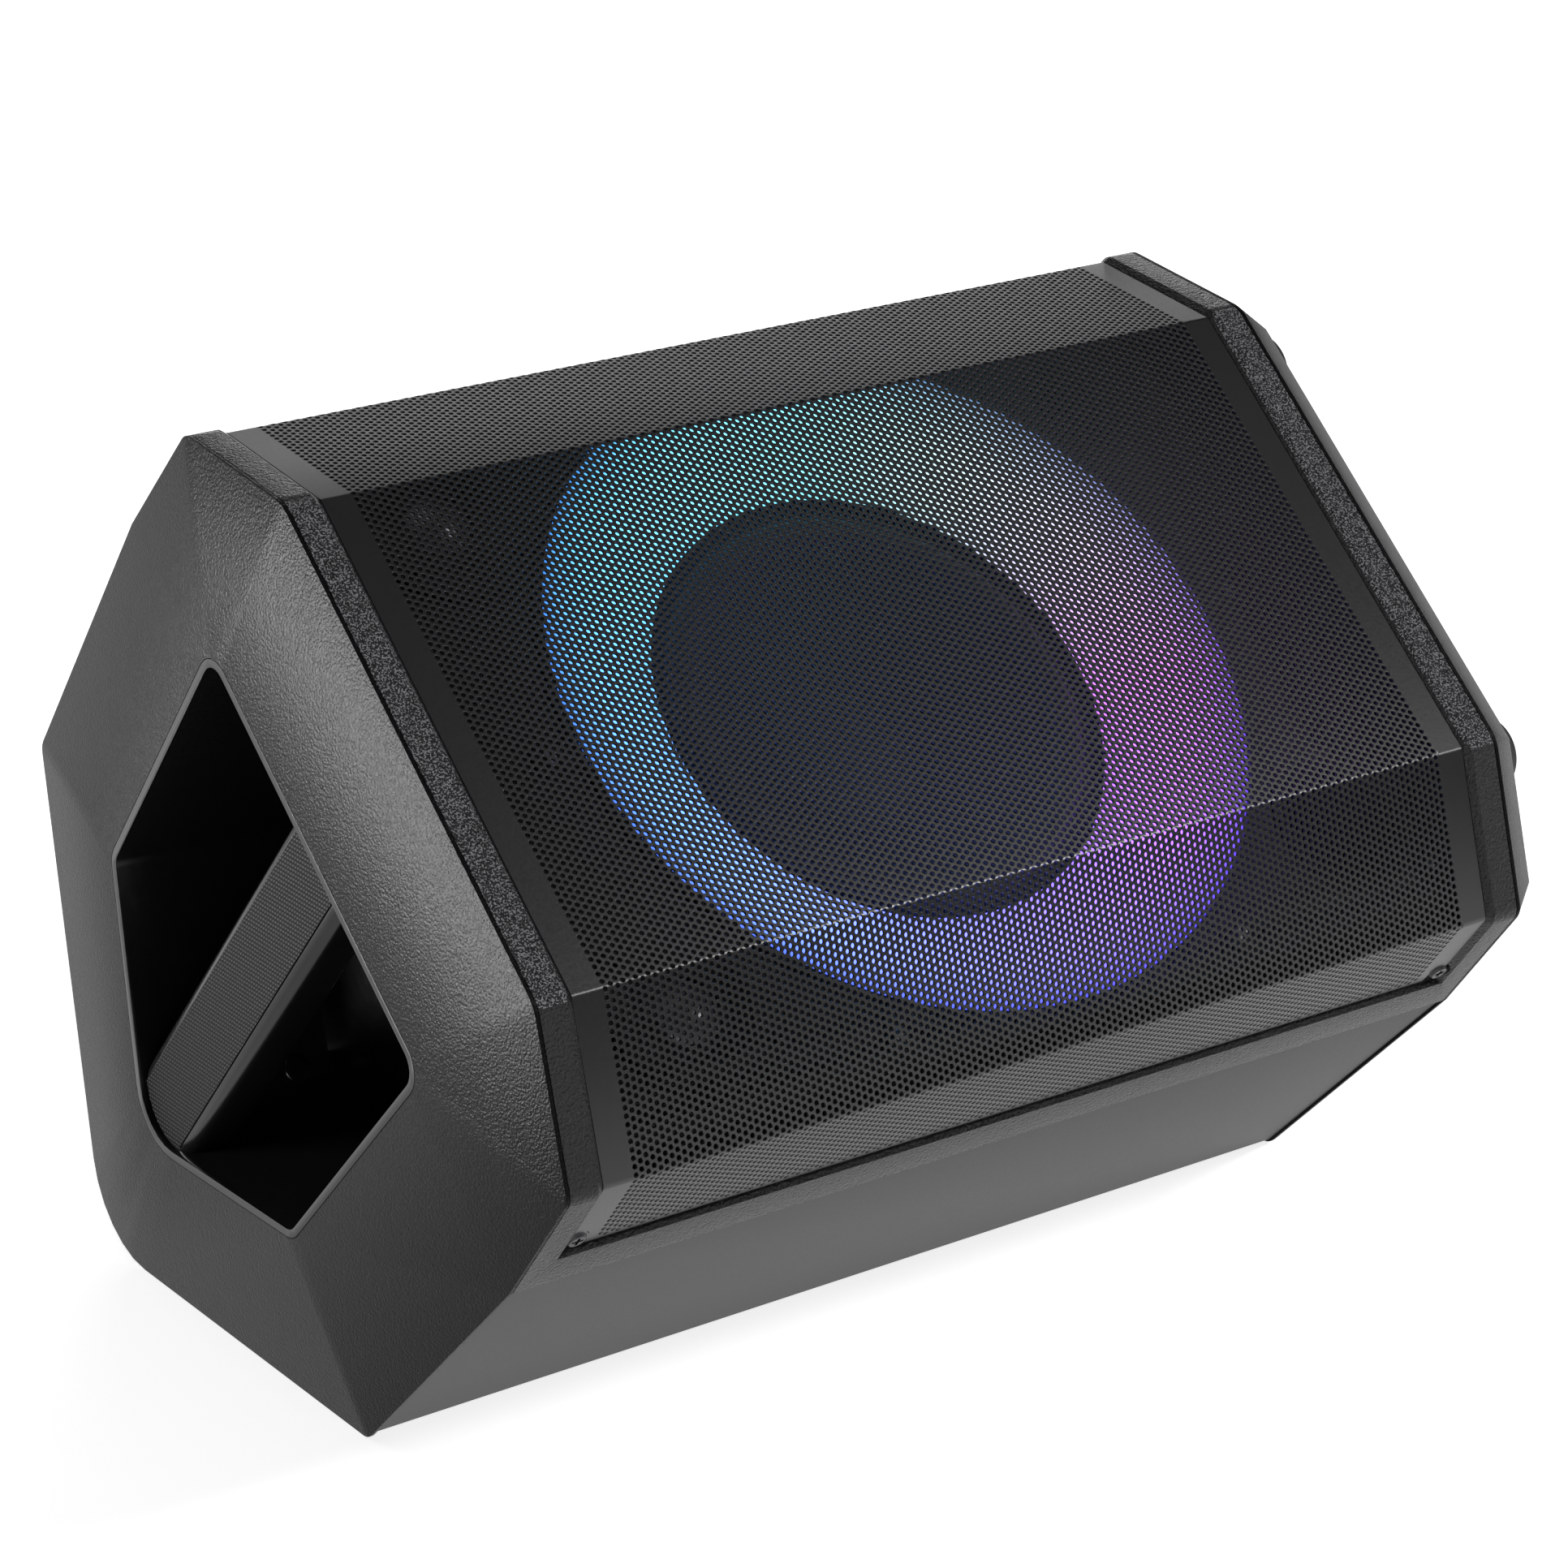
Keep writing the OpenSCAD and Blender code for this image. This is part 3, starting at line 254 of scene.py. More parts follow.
floor_half = 9.0
corner = np.array([[-1, -1], [1, -1], [1, 1], [-1, 1]]) * floor_half
floor = mesh_object("floor", np.column_stack([corner, np.full(4, -0.0002)]), [(0, 1, 2, 3)])
pale_floor = Paint("pale_floor", Base_Color=(0.85, 0.85, 0.85, 1), Roughness=0.6,
                   Emission_Color=(1, 1, 1, 1), Emission_Strength=0.80)
dress(pale_floor, floor)
floor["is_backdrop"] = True

room = bpy.data.worlds.new("room")
bpy.context.scene.world = room
room.use_nodes = True
room.node_tree.nodes["Background"].inputs["Color"].default_value = (1, 1, 1, 1)
room.node_tree.nodes["Background"].inputs["Strength"].default_value = 0.04
bpy.context.scene.view_settings.view_transform = "Standard"


def soft_light(name, place, aim, width, height, power):
    """A softbox of that width and height in metres and that power in watts, turned to aim."""
    light = bpy.data.lights.new(name, "AREA")
    light.shape = "RECTANGLE"
    light.size, light.size_y = width, height
    light.energy = power
    made = bpy.data.objects.new(name, light)
    made.location = place
    made.rotation_euler = (Vector(aim) - Vector(place)).to_track_quat("-Z", "Y").to_euler()
    made.visible_camera = False
    bpy.context.scene.collection.objects.link(made)
    return made


light_aim = (0.0, 0.0, 0.18)
soft_light("overhead_light", (-0.9, 0.8, 4.5), (-0.9, 0.8, 0.0), 4.0, 4.0, 42)
soft_light("top_edge_light", (1.9, 2.4, 2.0), light_aim, 1.6, 0.7, 7)
soft_light("rim_light", (1.7, 2.6, 0.7), light_aim, 1.6, 0.35, 12)
soft_light("fold_light", (1.3, -1.45, 1.6), light_aim, 0.5, 0.16, 24)
soft_light("face_light", (1.19, -0.54, 1.96), light_aim, 0.45, 0.35, 0.35)
soft_light("low_front_light", (-1.7, -2.0, 0.28), light_aim, 1.2, 0.4, 12)

# ---- The speaker's own directions ----
# The body was drawn standing on its back edge and then tilted onto one back face. The woofer's
# joint gives the way that it faces, so sizes in millimetres are turned into places in the room.
front = np.array(next(j for j in frame["joints"] if j["name"] == "cone_travel")["axis"])
across = np.array([0.0, front[2], -front[1]])
plate_low, plate_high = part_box("woofer_top_plate")
plate_middle = np.array((plate_low + plate_high) / 2)
handle_rise = 11.7
back_edge = plate_middle - front * plate_middle[2] / front[2]
back_edge[0] = cad_box[0][0] + handle_rise / 1000


def placed(x, y, z):
    """World places of x along the body, y across it and z from its back edge, in mm: the back
    edge + (x * along + y * across + z * front) / 1000."""
    x, y, z = np.broadcast_arrays(*(np.asarray(v, float) for v in (x, y, z)))
    along = np.array([1.0, 0.0, 0.0])
    return back_edge + (x[..., None] * along + y[..., None] * across + z[..., None] * front) / 1000


# ---- Grille ----
# One sheet of steel, punched with round holes in staggered rows, folded over the four front
# edges and lacquered black. Its ends are plain, and four notches leave room for the screws.
body_len, band_w, band_slope = 445.0, 13.4, 2.9
outline = np.array([
    [-105.0, 380.0], [105.0, 380.0], [163.0, 341.5], [166.5, 277.5], [156.5, 135.0],
    [0.0, 0.0], [-156.5, 135.0], [-166.5, 277.5], [-163.0, 341.5]])
hole_pitch, hole_r, hole_sides = 3.0, 1.0, 12
burr_w, burr_d, burr_lean = 0.15, 0.15, 60
sheet_drop, sheet_t, fold_r, return_d = 2.0, 1.2, 3.0, 42.6
fold_points, half_columns, half_rows = 7, 80, 76
field_in, field_edge, hole_margin, sheet_gap = 30.0, 1.6, 0.8, 0.4
screw_in, screw_d, notch_r = 19.4, 37.6, 5.2


def inset(points, distance):
    """Closed outline moved in: each corner goes along its bisector by distance over the sine."""
    to_last = np.roll(points, 1, 0) - points
    to_next = np.roll(points, -1, 0) - points
    to_last /= np.linalg.norm(to_last, axis=1, keepdims=True)
    to_next /= np.linalg.norm(to_next, axis=1, keepdims=True)
    inward = to_last + to_next
    inward /= np.linalg.norm(inward, axis=1, keepdims=True)
    half = np.arccos((to_last * to_next).sum(1)) / 2
    return points + inward * (distance / np.sin(half))[:, None]


def folded_path(drop, bend):
    """The sheet's section: straight runs joined by arcs of radius bend at the four folds. Each
    arc's centre lies on its corner's bisector, at bend over the sine of half the angle."""
    ring = inset(outline, drop)
    top, bottom = ring[3], ring[7]
    corners = ring[[2, 1, 0, 8]]
    end_z = outline[2, 1] - return_d
    first = corners[0] + (top - corners[0]) * (end_z - corners[0, 1]) / (top[1] - corners[0, 1])
    fall = (end_z - corners[3, 1]) / (bottom[1] - corners[3, 1])
    last = corners[3] + (bottom - corners[3]) * fall
    stops = np.vstack([first, corners, last])
    path = [first[None]]
    for before, at, after in zip(stops[:-2], stops[1:-1], stops[2:]):
        back = (before - at) / np.linalg.norm(before - at)
        ahead = (after - at) / np.linalg.norm(after - at)
        half = math.acos(back @ ahead) / 2
        centre = at + (back + ahead) / np.linalg.norm(back + ahead) * bend / math.sin(half)
        start = at + back * bend / math.tan(half) - centre
        turn = np.linspace(0, math.pi - 2 * half, fold_points)
        side = ahead * math.sin(half * 2) / abs(math.sin(half * 2))
        side = side - start * (side @ start) / bend**2
        side /= np.linalg.norm(side)
        path.append(centre + np.cos(turn)[:, None] * start + np.sin(turn)[:, None] * side * bend)
    path.append(last[None])
    return np.vstack(path)


path = folded_path(sheet_drop, fold_r)
run = np.concatenate([[0], np.cumsum(np.linalg.norm(np.diff(path, axis=0), axis=1))])
heading = np.gradient(path, run, axis=0)
heading /= np.linalg.norm(heading, axis=1, keepdims=True)


def facing(s):
    """Unit heading along the section, in y and z."""
    ty, tz = np.interp(s, run, heading[:, 0]), np.interp(s, run, heading[:, 1])
    return np.array([ty, tz]) / np.hypot(ty, tz)


def on_sheet(x, s, depth):
    """World places x along the sheet, s along its section, depth below its outer face, in mm."""
    y, z = np.interp(s, run, path[:, 0]), np.interp(s, run, path[:, 1])
    ty, tz = facing(s)
    return placed(x, y - tz * depth, z + ty * depth)


def sheet_normal(s):
    """The sheet's outward direction: its heading along the section, turned a quarter."""
    ty, tz = facing(s)
    return tz[..., None] * across - ty[..., None] * front


sheet_lo = band_w + band_slope + sheet_gap
sheet_hi = body_len - sheet_lo
field_lo, field_hi = field_in - field_edge, body_len - field_in + field_edge
column = hole_pitch * math.sqrt(3) / 2
sheet_run = run[-1]
fold_at = 1 + fold_points // 2 + fold_points * np.arange(4)
folds = [0.0, *run[fold_at], sheet_run]
upper, lower = folds[2], folds[3]
# The sheet is made in eleven pieces, cut at its folds, halfway down the bevels and over the front.
cuts = [0.0, folds[1], (folds[1] + upper) / 2, *np.linspace(upper, lower, 6),
        (lower + folds[4]) / 2, folds[4], sheet_run]
middle_x = body_len / 2
columns = np.arange(-half_columns, half_columns + 1)
rows = np.arange(-half_rows, half_rows + 1)
ci, ri = np.meshgrid(columns, rows, indexing="ij")
cell_x = middle_x + ci * column
cell_s = sheet_run / 2 + (ri + 0.5 * (ci % 2)) * hole_pitch
reach = hole_pitch / math.sqrt(3)
inside = (cell_x > field_lo - reach) & (cell_x < field_hi + reach)
inside &= (cell_s > -reach) & (cell_s < sheet_run + reach)
cell_x, cell_s = cell_x[inside], cell_s[inside]
screws_x = np.array([screw_in, body_len - screw_in] * 2)
screws_s = np.array([return_d - screw_d] * 2 + [sheet_run - return_d + screw_d] * 2)
notches = list(zip(screws_x, screws_s, [1, -1, 1, -1], [1, 1, -1, -1]))
holed = (cell_x > field_in) & (cell_x < body_len - field_in)
holed &= (cell_s > hole_r + hole_margin) & (cell_s < sheet_run - hole_r - hole_margin)

steel = Paint("black_grille_steel", Base_Color=(0.010, 0.010, 0.011, 1), Specular_IOR_Level=0.6)
speck = steel.noise(0.0011, 3.0)
steel.feed("Roughness", speck * 0.14 + 0.24)
steel.bump(speck, 0.00002)


def ended(x, s):
    """Places kept on the sheet's plain ends, inside its edges and outside the four notches.

    Between a screw and the edge a place moves along x to the notch's straight side. Round the
    screw it moves away from the centre, by the rim's radius over its own, and at the sheet's
    end it moves along s to the rim, the square root of radius squared less x squared."""
    for sx, ss, into, side in notches:
        beyond = (s - ss) * side < 0
        x = np.where(beyond & ((x - sx) * into < notch_r), sx + into * notch_r, x)
        push = np.maximum(notch_r / np.maximum(np.hypot(x - sx, s - ss), 0.01), 1)
        push = np.where(beyond, 1, push)
        x, s = np.clip(sx + (x - sx) * push, sheet_lo, sheet_hi), ss + (s - ss) * push
        rim = np.sqrt(np.maximum(notch_r**2 - (x - sx) ** 2, 0))
        s = np.where(~beyond & ((s - ss) * side < rim), ss + side * rim, s)
    return x, s


hexagon = np.radians(np.arange(0, 360, 60))
rim = np.radians(np.arange(0, 360, 360 / hole_sides))


def grille_piece(name, low, high):
    """Six-sided cells tile the sheet. In the field each has a round hole: a rolled rim from
    radius + burr at the face to the radius at the burr's depth, then a wall through the sheet.
    Each ring's normal is sheet normal * cos(lean) + the way to the hole's centre * sin(lean)."""
    mine = (cell_s >= low) & (cell_s < high)
    x, s, cut = cell_x[mine], cell_s[mine], holed[mine]
    hx = np.clip(x[:, None] + reach * np.cos(hexagon), field_lo, field_hi)
    hs = np.clip(s[:, None] + reach * np.sin(hexagon), 0, sheet_run)
    places, normals = [on_sheet(hx, hs, 0.0)], [sheet_normal(hs)]
    x, s = x[cut, None], s[cut, None]
    inward = on_sheet(x, s, 0.0) - on_sheet(x + np.cos(rim), s + np.sin(rim), 0.0)
    inward /= np.linalg.norm(inward, axis=-1, keepdims=True)
    rings = ((hole_r + burr_w, 0.0, 0), (hole_r, burr_d, burr_lean), (hole_r, sheet_t, 90))
    for r, depth, lean in rings:
        ring_s, lean = s + r * np.sin(rim), math.radians(lean)
        places.append(on_sheet(x + r * np.cos(rim), ring_s, depth))
        normals.append(sheet_normal(ring_s) * math.cos(lean) + inward * math.sin(lean))
    vertices = np.concatenate([v.reshape(-1, 3) for v in places])
    first_corner = np.arange(len(cut)) * 6
    plain = first_corner[~cut, None] + np.arange(6)[::-1]
    base = first_corner[cut]
    rim_at = len(cut) * 6 + np.arange(cut.sum()) * hole_sides
    faces = [plain]
    for k in range(6):
        here, there = base + k, base + (k + 1) % 6
        a, b, c = rim_at + 2 * k, rim_at + 2 * k + 1, rim_at + (2 * k + 2) % hole_sides
        for face in ((a, b, here), (here, b, there), (there, b, c)):
            faces.append(np.stack(face, 1))
    for ring_at in (rim_at, rim_at + cut.sum() * hole_sides):
        below = ring_at + cut.sum() * hole_sides
        for k in range(hole_sides):
            a, b = ring_at + k, ring_at + (k + 1) % hole_sides
            faces.append(np.stack([a, below + k, below + (k + 1) % hole_sides, b], 1))
    steel_piece(name, vertices, faces, np.concatenate([n.reshape(-1, 3) for n in normals]))


def steel_piece(name, vertices, faces, normals):
    """A mesh of faces of any sides, shaded by its vertices' own normals."""
    mesh = bpy.data.meshes.new(name)
    sizes = np.concatenate([np.full(len(f), f.shape[1]) for f in faces])
    loops = np.concatenate([f.ravel() for f in faces])
    mesh.vertices.add(len(vertices))
    mesh.vertices.foreach_set("co", vertices.ravel())
    mesh.loops.add(len(loops))
    mesh.loops.foreach_set("vertex_index", loops)
    mesh.polygons.add(len(sizes))
    mesh.polygons.foreach_set("loop_start", np.concatenate([[0], np.cumsum(sizes)[:-1]]))
    mesh.polygons.foreach_set("use_smooth", np.ones(len(sizes), bool))
    mesh.update(calc_edges=True)
    mesh.normals_split_custom_set_from_vertices(normals)
    piece = bpy.data.objects.new(name, mesh)
    bpy.context.scene.collection.objects.link(piece)
    dress(steel, piece)
    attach(piece, "speaker_body")
    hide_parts("grille")


grille_names = ["grille_upper_return", "grille_upper_bevel_back", "grille_upper_bevel_front",
                "grille_front_upper", "grille_front_high", "grille_front_middle",
                "grille_front_low", "grille_front_lower", "grille_lower_bevel_front",
                "grille_lower_bevel_back", "grille_lower_return"]
lows, highs = [-math.inf, *cuts[1:-1]], [*cuts[1:-1], math.inf]
for name, low, high in zip(grille_names, lows, highs):
    grille_piece(name, low, high)

# The plain ends, a grid with lines along every fold.
end_columns, end_rows = 12, 160
end_s = np.unique(np.concatenate([run, np.linspace(0, sheet_run, end_rows)]))
for name, near, far in (("grille_end_handle", sheet_lo, field_lo),
                        ("grille_end_foot", field_hi, sheet_hi)):
    gx, gs = ended(*np.meshgrid(np.linspace(near, far, end_columns), end_s, indexing="ij"))
    at = np.arange(gx.size).reshape(gx.shape)
    quads = np.stack([at[:-1, :-1], at[:-1, 1:], at[1:, 1:], at[1:, :-1]], -1).reshape(-1, 4)
    across_quad = np.ptp(gx.ravel()[quads], axis=1) * np.ptp(gs.ravel()[quads], axis=1)
    quads = quads[across_quad > 1e-6]
    steel_piece(name, on_sheet(gx, gs, 0.0).reshape(-1, 3), [quads],
                sheet_normal(gs).reshape(-1, 3))

# The sheet's cut edge, one rounded strip all round it. Its line runs along the four sides and
# into each notch: down the straight side, then round the screw to the sheet's end.
edge_roll, arc_steps, end_steps, side_steps = 0.25, 14, 60, 220
arc = np.linspace(0, math.acos((sheet_lo - screw_in) / notch_r), arc_steps)
notch_x = np.concatenate([[notch_r], notch_r * np.cos(arc)])
notch_s = np.concatenate([[-(return_d - screw_d)], notch_r * np.sin(arc)])
along_x = np.linspace(0, 1, end_steps)[1:-1]
along_s = np.linspace(0, 1, side_steps)[1:-1]
rim_x, rim_s = [], []
for n, (sx, ss, into, side) in enumerate([notches[0], notches[2], notches[3], notches[1]]):
    order = slice(None, None, 1 if n % 2 == 0 else -1)
    cx, cs = (sx + into * notch_x)[order], (ss + side * notch_s)[order]
    if n:
        steps = along_s if n % 2 else along_x
        rim_x.append(rim_x[-1][-1] + (cx[0] - rim_x[-1][-1]) * steps)
        rim_s.append(rim_s[-1][-1] + (cs[0] - rim_s[-1][-1]) * steps)
    rim_x.append(cx)
    rim_s.append(cs)
rim_x.append(rim_x[-1][-1] + (rim_x[0][0] - rim_x[-1][-1]) * along_x)
rim_s.append(np.zeros(len(along_x)))
rim_x, rim_s = np.concatenate(rim_x), np.concatenate(rim_s)
step_x, step_s = np.roll(rim_x, -1) - np.roll(rim_x, 1), np.roll(rim_s, -1) - np.roll(rim_s, 1)
step = np.hypot(step_x, step_s)
out_x, out_s = -step_s / step * edge_roll, step_x / step * edge_roll
edge_rows = [on_sheet(rim_x, rim_s, 0.0), on_sheet(rim_x + out_x, rim_s + out_s, edge_roll),
           on_sheet(rim_x + out_x, rim_s + out_s, sheet_t)]
here = np.arange(len(rim_x))
there = np.roll(here, -1)
edge_faces = [np.stack([here + k, here + k + len(here), there + k + len(here), there + k], 1)
              for k in (0, len(here))]
grille_edges = mesh_object("grille_edges", np.concatenate(edge_rows),
                           np.concatenate(edge_faces), smooth=True)
dress(steel, grille_edges)
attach(grille_edges, "speaker_body")

# ---- Mouldings ----
# Cabinet, front frame and end caps are moulded in dark polypropylene with a leather grain: coarse
# on the bands, finer on the caps and the cabinet. Every edge is rounded a little by the mould.
edge_angle, edge_segments = 18, 3


def softened(node, width, paint):
    """The node's own shape with its edges rounded: coplanar faces joined, then a bevel."""
    mesh = nodes[node].data.copy()
    mesh.name = node + "_rounded"
    work = bmesh.new()
    work.from_mesh(mesh)
    bmesh.ops.remove_doubles(work, verts=work.verts, dist=2e-6)
    bmesh.ops.dissolve_limit(work, angle_limit=math.radians(1.0), verts=work.verts,
                             edges=work.edges, delimit={"NORMAL"})
    for face in work.faces:
        face.smooth = True
    work.to_mesh(mesh)
    work.free()
    piece = bpy.data.objects.new(node + "_rounded", mesh)
    bpy.context.scene.collection.objects.link(piece)
    bevel = piece.modifiers.new("edges", "BEVEL")
    bevel.limit_method = "ANGLE"
    bevel.angle_limit = math.radians(edge_angle)
    bevel.width = width
    bevel.segments = edge_segments
    bevel.harden_normals = True
    bevel.miter_outer = "MITER_ARC"
    dress(paint, piece)
    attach(piece, "speaker_body")
    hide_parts(node)
    return piece


def grained(name, colour, gloss, size, depth, rough, speck=0.0):
    """Moulded grain: low rounded pebbles with fine noise on top, and specks that shine more."""
    paint = Paint(name, Base_Color=(*colour, 1), Specular_IOR_Level=gloss)
    pebbles = paint.cells(size, "SMOOTH_F1")
    fine = paint.noise(size * 0.45, 3.0)
    height = (1 - pebbles * 1.3) * 0.7 + fine * 0.6
    paint.feed("Roughness", rough + (fine - 0.5) * 0.25 - speck * (fine > 0.6))
    paint.bump(height, depth)
    return paint


cap_plastic = grained("cap_plastic", (0.004, 0.004, 0.0043), 0.055, 0.0010, 0.00022, 0.30)
cabinet_plastic = grained("cabinet_plastic", (0.010, 0.010, 0.0105), 0.32, 0.0007, 0.00008, 0.45)
frame_plastic = grained("frame_plastic", (0.012, 0.012, 0.013), 0.25, 0.0011, 0.00075, 0.32, 0.12)
# Painted glints: pale specks are painted into the base colour on the bands' front face alone, where the
# grain catches the light.
band_front_z = 378.8
facing_out = frame_plastic.node("ShaderNodeVectorMath", {"operation": "DOT_PRODUCT"},
                                {0: frame_plastic.place(), 1: tuple(front)}, "Value")
on_top = facing_out > float(placed(0, 0, band_front_z) @ front)
painted_glint_size, painted_glint_level = 0.0007, 0.55
painted_glints = (frame_plastic.noise(painted_glint_size, 1.0) > painted_glint_level) * on_top
# Painted highlight: pale base colour wherever the glint mask is set.
frame_plastic.blend("Base Color", painted_glints, (0.012, 0.012, 0.013), (0.22, 0.22, 0.23))
handle_cap = softened("handle_end_cap", 0.0010, cap_plastic)
softened("foot_end_cap", 0.0012, cap_plastic)
softened("rear_cabinet", 0.0006, cabinet_plastic)
softened("front_frame", 0.0005, frame_plastic)

# ---- Hand pocket ----
# A smooth, satin black cup is let into the handle cap. A bar of the same plastic crosses it, held
# by two screws through the cup's walls, and a dotted rubber pad lies in the bar's outer face.
satin_black = Paint("satin_black", Base_Color=(0.002, 0.002, 0.0022, 1), Specular_IOR_Level=0.35)
satin_black.feed("Roughness", satin_black.noise(0.004, 3.0) * 0.10 + 0.18)
cup = softened("handle_cup", 0.0006, satin_black)
bar = softened("handle_bar", 0.0015, satin_black)
grip_rubber = Paint("grip_rubber", Base_Color=(0.004, 0.004, 0.0043, 1), Specular_IOR_Level=0.035)
dots = grip_rubber.cells(0.0018, randomness=0.0)
grip_rubber.feed("Roughness", dots * 0.2 + 0.35)
grip_rubber.bump(1 - dots, 0.0005)
dress(grip_rubber, "handle_grip")

# A strong softbox low beside the handle end, flagged so that it reaches this end alone.
handle_end = (-0.24, 0.0, 0.2)
handle_light = soft_light("handle_end_light", (-1.38, 0.70, 0.18), handle_end, 0.6, 0.34, 66)
flagged = bpy.data.collections.new("lit_by_handle_end_light")
for piece in (handle_cap, cup, bar, nodes["handle_grip"]):
    flagged.objects.link(piece)
handle_light.light_linking.receiver_collection = flagged

# A moulded plug that hides a fixing in the cup's wall: rings of radius times the profile's
# first value, raised along the wall's normal by the rise times its second.
plug_r, plug_rise, plug_sides = 0.0055, 0.0012, 48
plug_point = (296.0, 1068.0)
plug_place, plug_normal = on_view(*plug_point, cup)
profile = np.array([[0.0, 1.0], [0.5, 1.0], [0.80, 0.96], [0.93, 0.78], [1.0, 0.4], [1.0, -0.2]])
turns = np.radians(np.arange(0, 360, 360 / plug_sides))
side_a = np.cross(plug_normal, across)
side_a /= np.linalg.norm(side_a)
side_b = np.cross(plug_normal, side_a)
circle = np.cos(turns)[:, None] * side_a + np.sin(turns)[:, None] * side_b
plug = np.concatenate([plug_place + circle * plug_r * r + plug_normal * plug_rise * h
                       for r, h in profile[1:]] + [[plug_place + plug_normal * plug_rise]])
here = np.arange(plug_sides)
there = np.roll(here, -1)
plug_faces = [(len(plug) - 1, a, b) for a, b in zip(here, there)]
for k in range(len(profile) - 2):
    low, high = k * plug_sides, (k + 1) * plug_sides
    plug_faces += [(low + a, high + a, high + b, low + b) for a, b in zip(here, there)]
plug_piece = mesh_object("cup_plug", plug, plug_faces, smooth=True)
dress(satin_black, plug_piece)
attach(plug_piece, "speaker_body")

# ---- Feet and floor strips ----
# Matt black rubber: four round feet, held to the foot end by a screw through each, and two flat
# strips bonded under the back face that the speaker lies on.
foot_rubber = Paint("foot_rubber", Base_Color=(0.012, 0.012, 0.012, 1))
foot_rubber.feed("Roughness", foot_rubber.noise(0.001, 2.0) * 0.2 + 0.6)
dress(foot_rubber, "foot_front_upper", "foot_front_lower", "foot_back_upper", "foot_back_lower",
      "base_pad_front", "base_pad_rear")

# ---- Screws ----
# Steel, with cross-recess pan heads. The four that hold the grille are blackened, and all the
# others are zinc plated.
black_zinc = Paint("black_zinc", Base_Color=(0.04, 0.04, 0.042, 1), Metallic=1.0)
black_zinc.feed("Roughness", black_zinc.noise(0.0008, 2.0) * 0.2 + 0.25)
dress(black_zinc, "grille_screws")
zinc = Paint("zinc_plate", Base_Color=(0.55, 0.55, 0.56, 1), Metallic=1.0)
zinc.feed("Roughness", zinc.noise(0.0008, 2.0) * 0.2 + 0.25)
dress(zinc, "frame_screws", "handle_cap_screws", "handle_screws", "foot_screws", "baffle_screws",
      "ring_screws", "woofer_screws", "panel_screws")

# ---- Light ring ----
# A frosted cone between baffle and woofer, lit from behind by coloured lamps: cyan at the top
# left, pale in the upper right, pink at the right and violet to blue round the bottom.
lens_low, lens_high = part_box("ring_lens")
ring_middle = (np.array(lens_low) + np.array(lens_high)) / 2
ring_lens = Paint("ring_lens", Base_Color=(0.10, 0.12, 0.15, 1), Roughness=0.45,
                  Emission_Strength=3.2)
spot = ring_lens.node("ShaderNodeMapping", {"vector_type": "TEXTURE"}, {
    "Vector": ring_lens.place(), "Location": ring_middle,
    "Rotation": (math.atan2(across[2], across[1]), 0, 0)})
part = {axis: ring_lens.node("ShaderNodeSeparateXYZ", None, {"Vector": spot}, axis)
        for axis in "XY"}
# turn goes from 0 to 1 round the ring, from the handle end: the angle over 2 pi, plus a half.
turn = part["Y"].math("ARCTAN2", part["Y"], part["X"]) / (2 * math.pi) + 0.5
hues = [(0.000, (0.09, 0.27, 0.78)), (0.097, (0.13, 0.24, 1.00)), (0.180, (0.15, 0.19, 1.00)),
        (0.250, (0.19, 0.16, 1.00)), (0.333, (0.27, 0.13, 0.96)), (0.390, (0.36, 0.11, 0.88)),
        (0.472, (0.44, 0.13, 0.63)), (0.556, (0.37, 0.31, 0.46)), (0.639, (0.31, 0.43, 0.44)),
        (0.722, (0.15, 0.50, 0.56)), (0.790, (0.14, 0.51, 0.64)), (0.889, (0.10, 0.42, 0.73)),
        (0.944, (0.09, 0.33, 0.76)), (1.000, (0.09, 0.27, 0.78))]
hue = ring_lens.node("ShaderNodeValToRGB", {"stops": hues}, {"Fac": turn}, "Color")
radius = ring_lens.node("ShaderNodeVectorMath", {"operation": "LENGTH"},
                        {0: ring_lens.node("ShaderNodeCombineXYZ", None,
                                           {"X": part["X"], "Y": part["Y"]})}, "Value")
lens_in, lens_out = 0.0945, 0.1456
fade = [(0.0, (0.75, 0.75, 0.75)), (0.18, (1, 1, 1)), (0.55, (1, 1, 1)),
        (0.85, (0.55, 0.60, 0.72)), (1.0, (0.16, 0.22, 0.40))]
fading = ring_lens.node("ShaderNodeValToRGB", {"stops": fade},
                        {"Fac": (radius - lens_in) / (lens_out - lens_in)}, "Color")
ring_lens.feed("Emission Color", ring_lens.node(
    "ShaderNodeMix", {"data_type": "RGBA", "blend_type": "MULTIPLY"},
    {0: 1.0, 6: hue, 7: fading}, 2))
dress(ring_lens, "ring_lens")
board_white = Paint("white_board", Base_Color=(0.75, 0.75, 0.72, 1), Roughness=0.5)
dress(board_white, "ring_board")

# ---- Baffle, woofer, tweeters and ports ----
# Dark behind the grille: a satin baffle, a pulp cone with a rubber surround, two small tweeters
# at the handle end and two bass ports at the foot end.
woofer_x = 234.8
baffle_black = Paint("baffle_black", Base_Color=(0.010, 0.010, 0.011, 1))
baffle_black.feed("Roughness", baffle_black.noise(0.003, 3.0) * 0.2 + 0.35)
dress(baffle_black, "baffle", "ring_housing", "tweeter_plate_upper", "tweeter_plate_lower",
      "port_upper", "port_lower")
pulp = Paint("cone_pulp", Base_Color=(0.030, 0.030, 0.031, 1), Roughness=0.7)
pulp.bump(pulp.noise(0.0015, 4.0), 0.0001)
dress(pulp, "woofer_cone", "woofer_dust_cap")
rubber = Paint("surround_rubber", Base_Color=(0.035, 0.035, 0.045, 1))
rubber.feed("Roughness", rubber.noise(0.002, 2.0) * 0.15 + 0.4)
dress(rubber, "woofer_surround", "woofer_gasket")


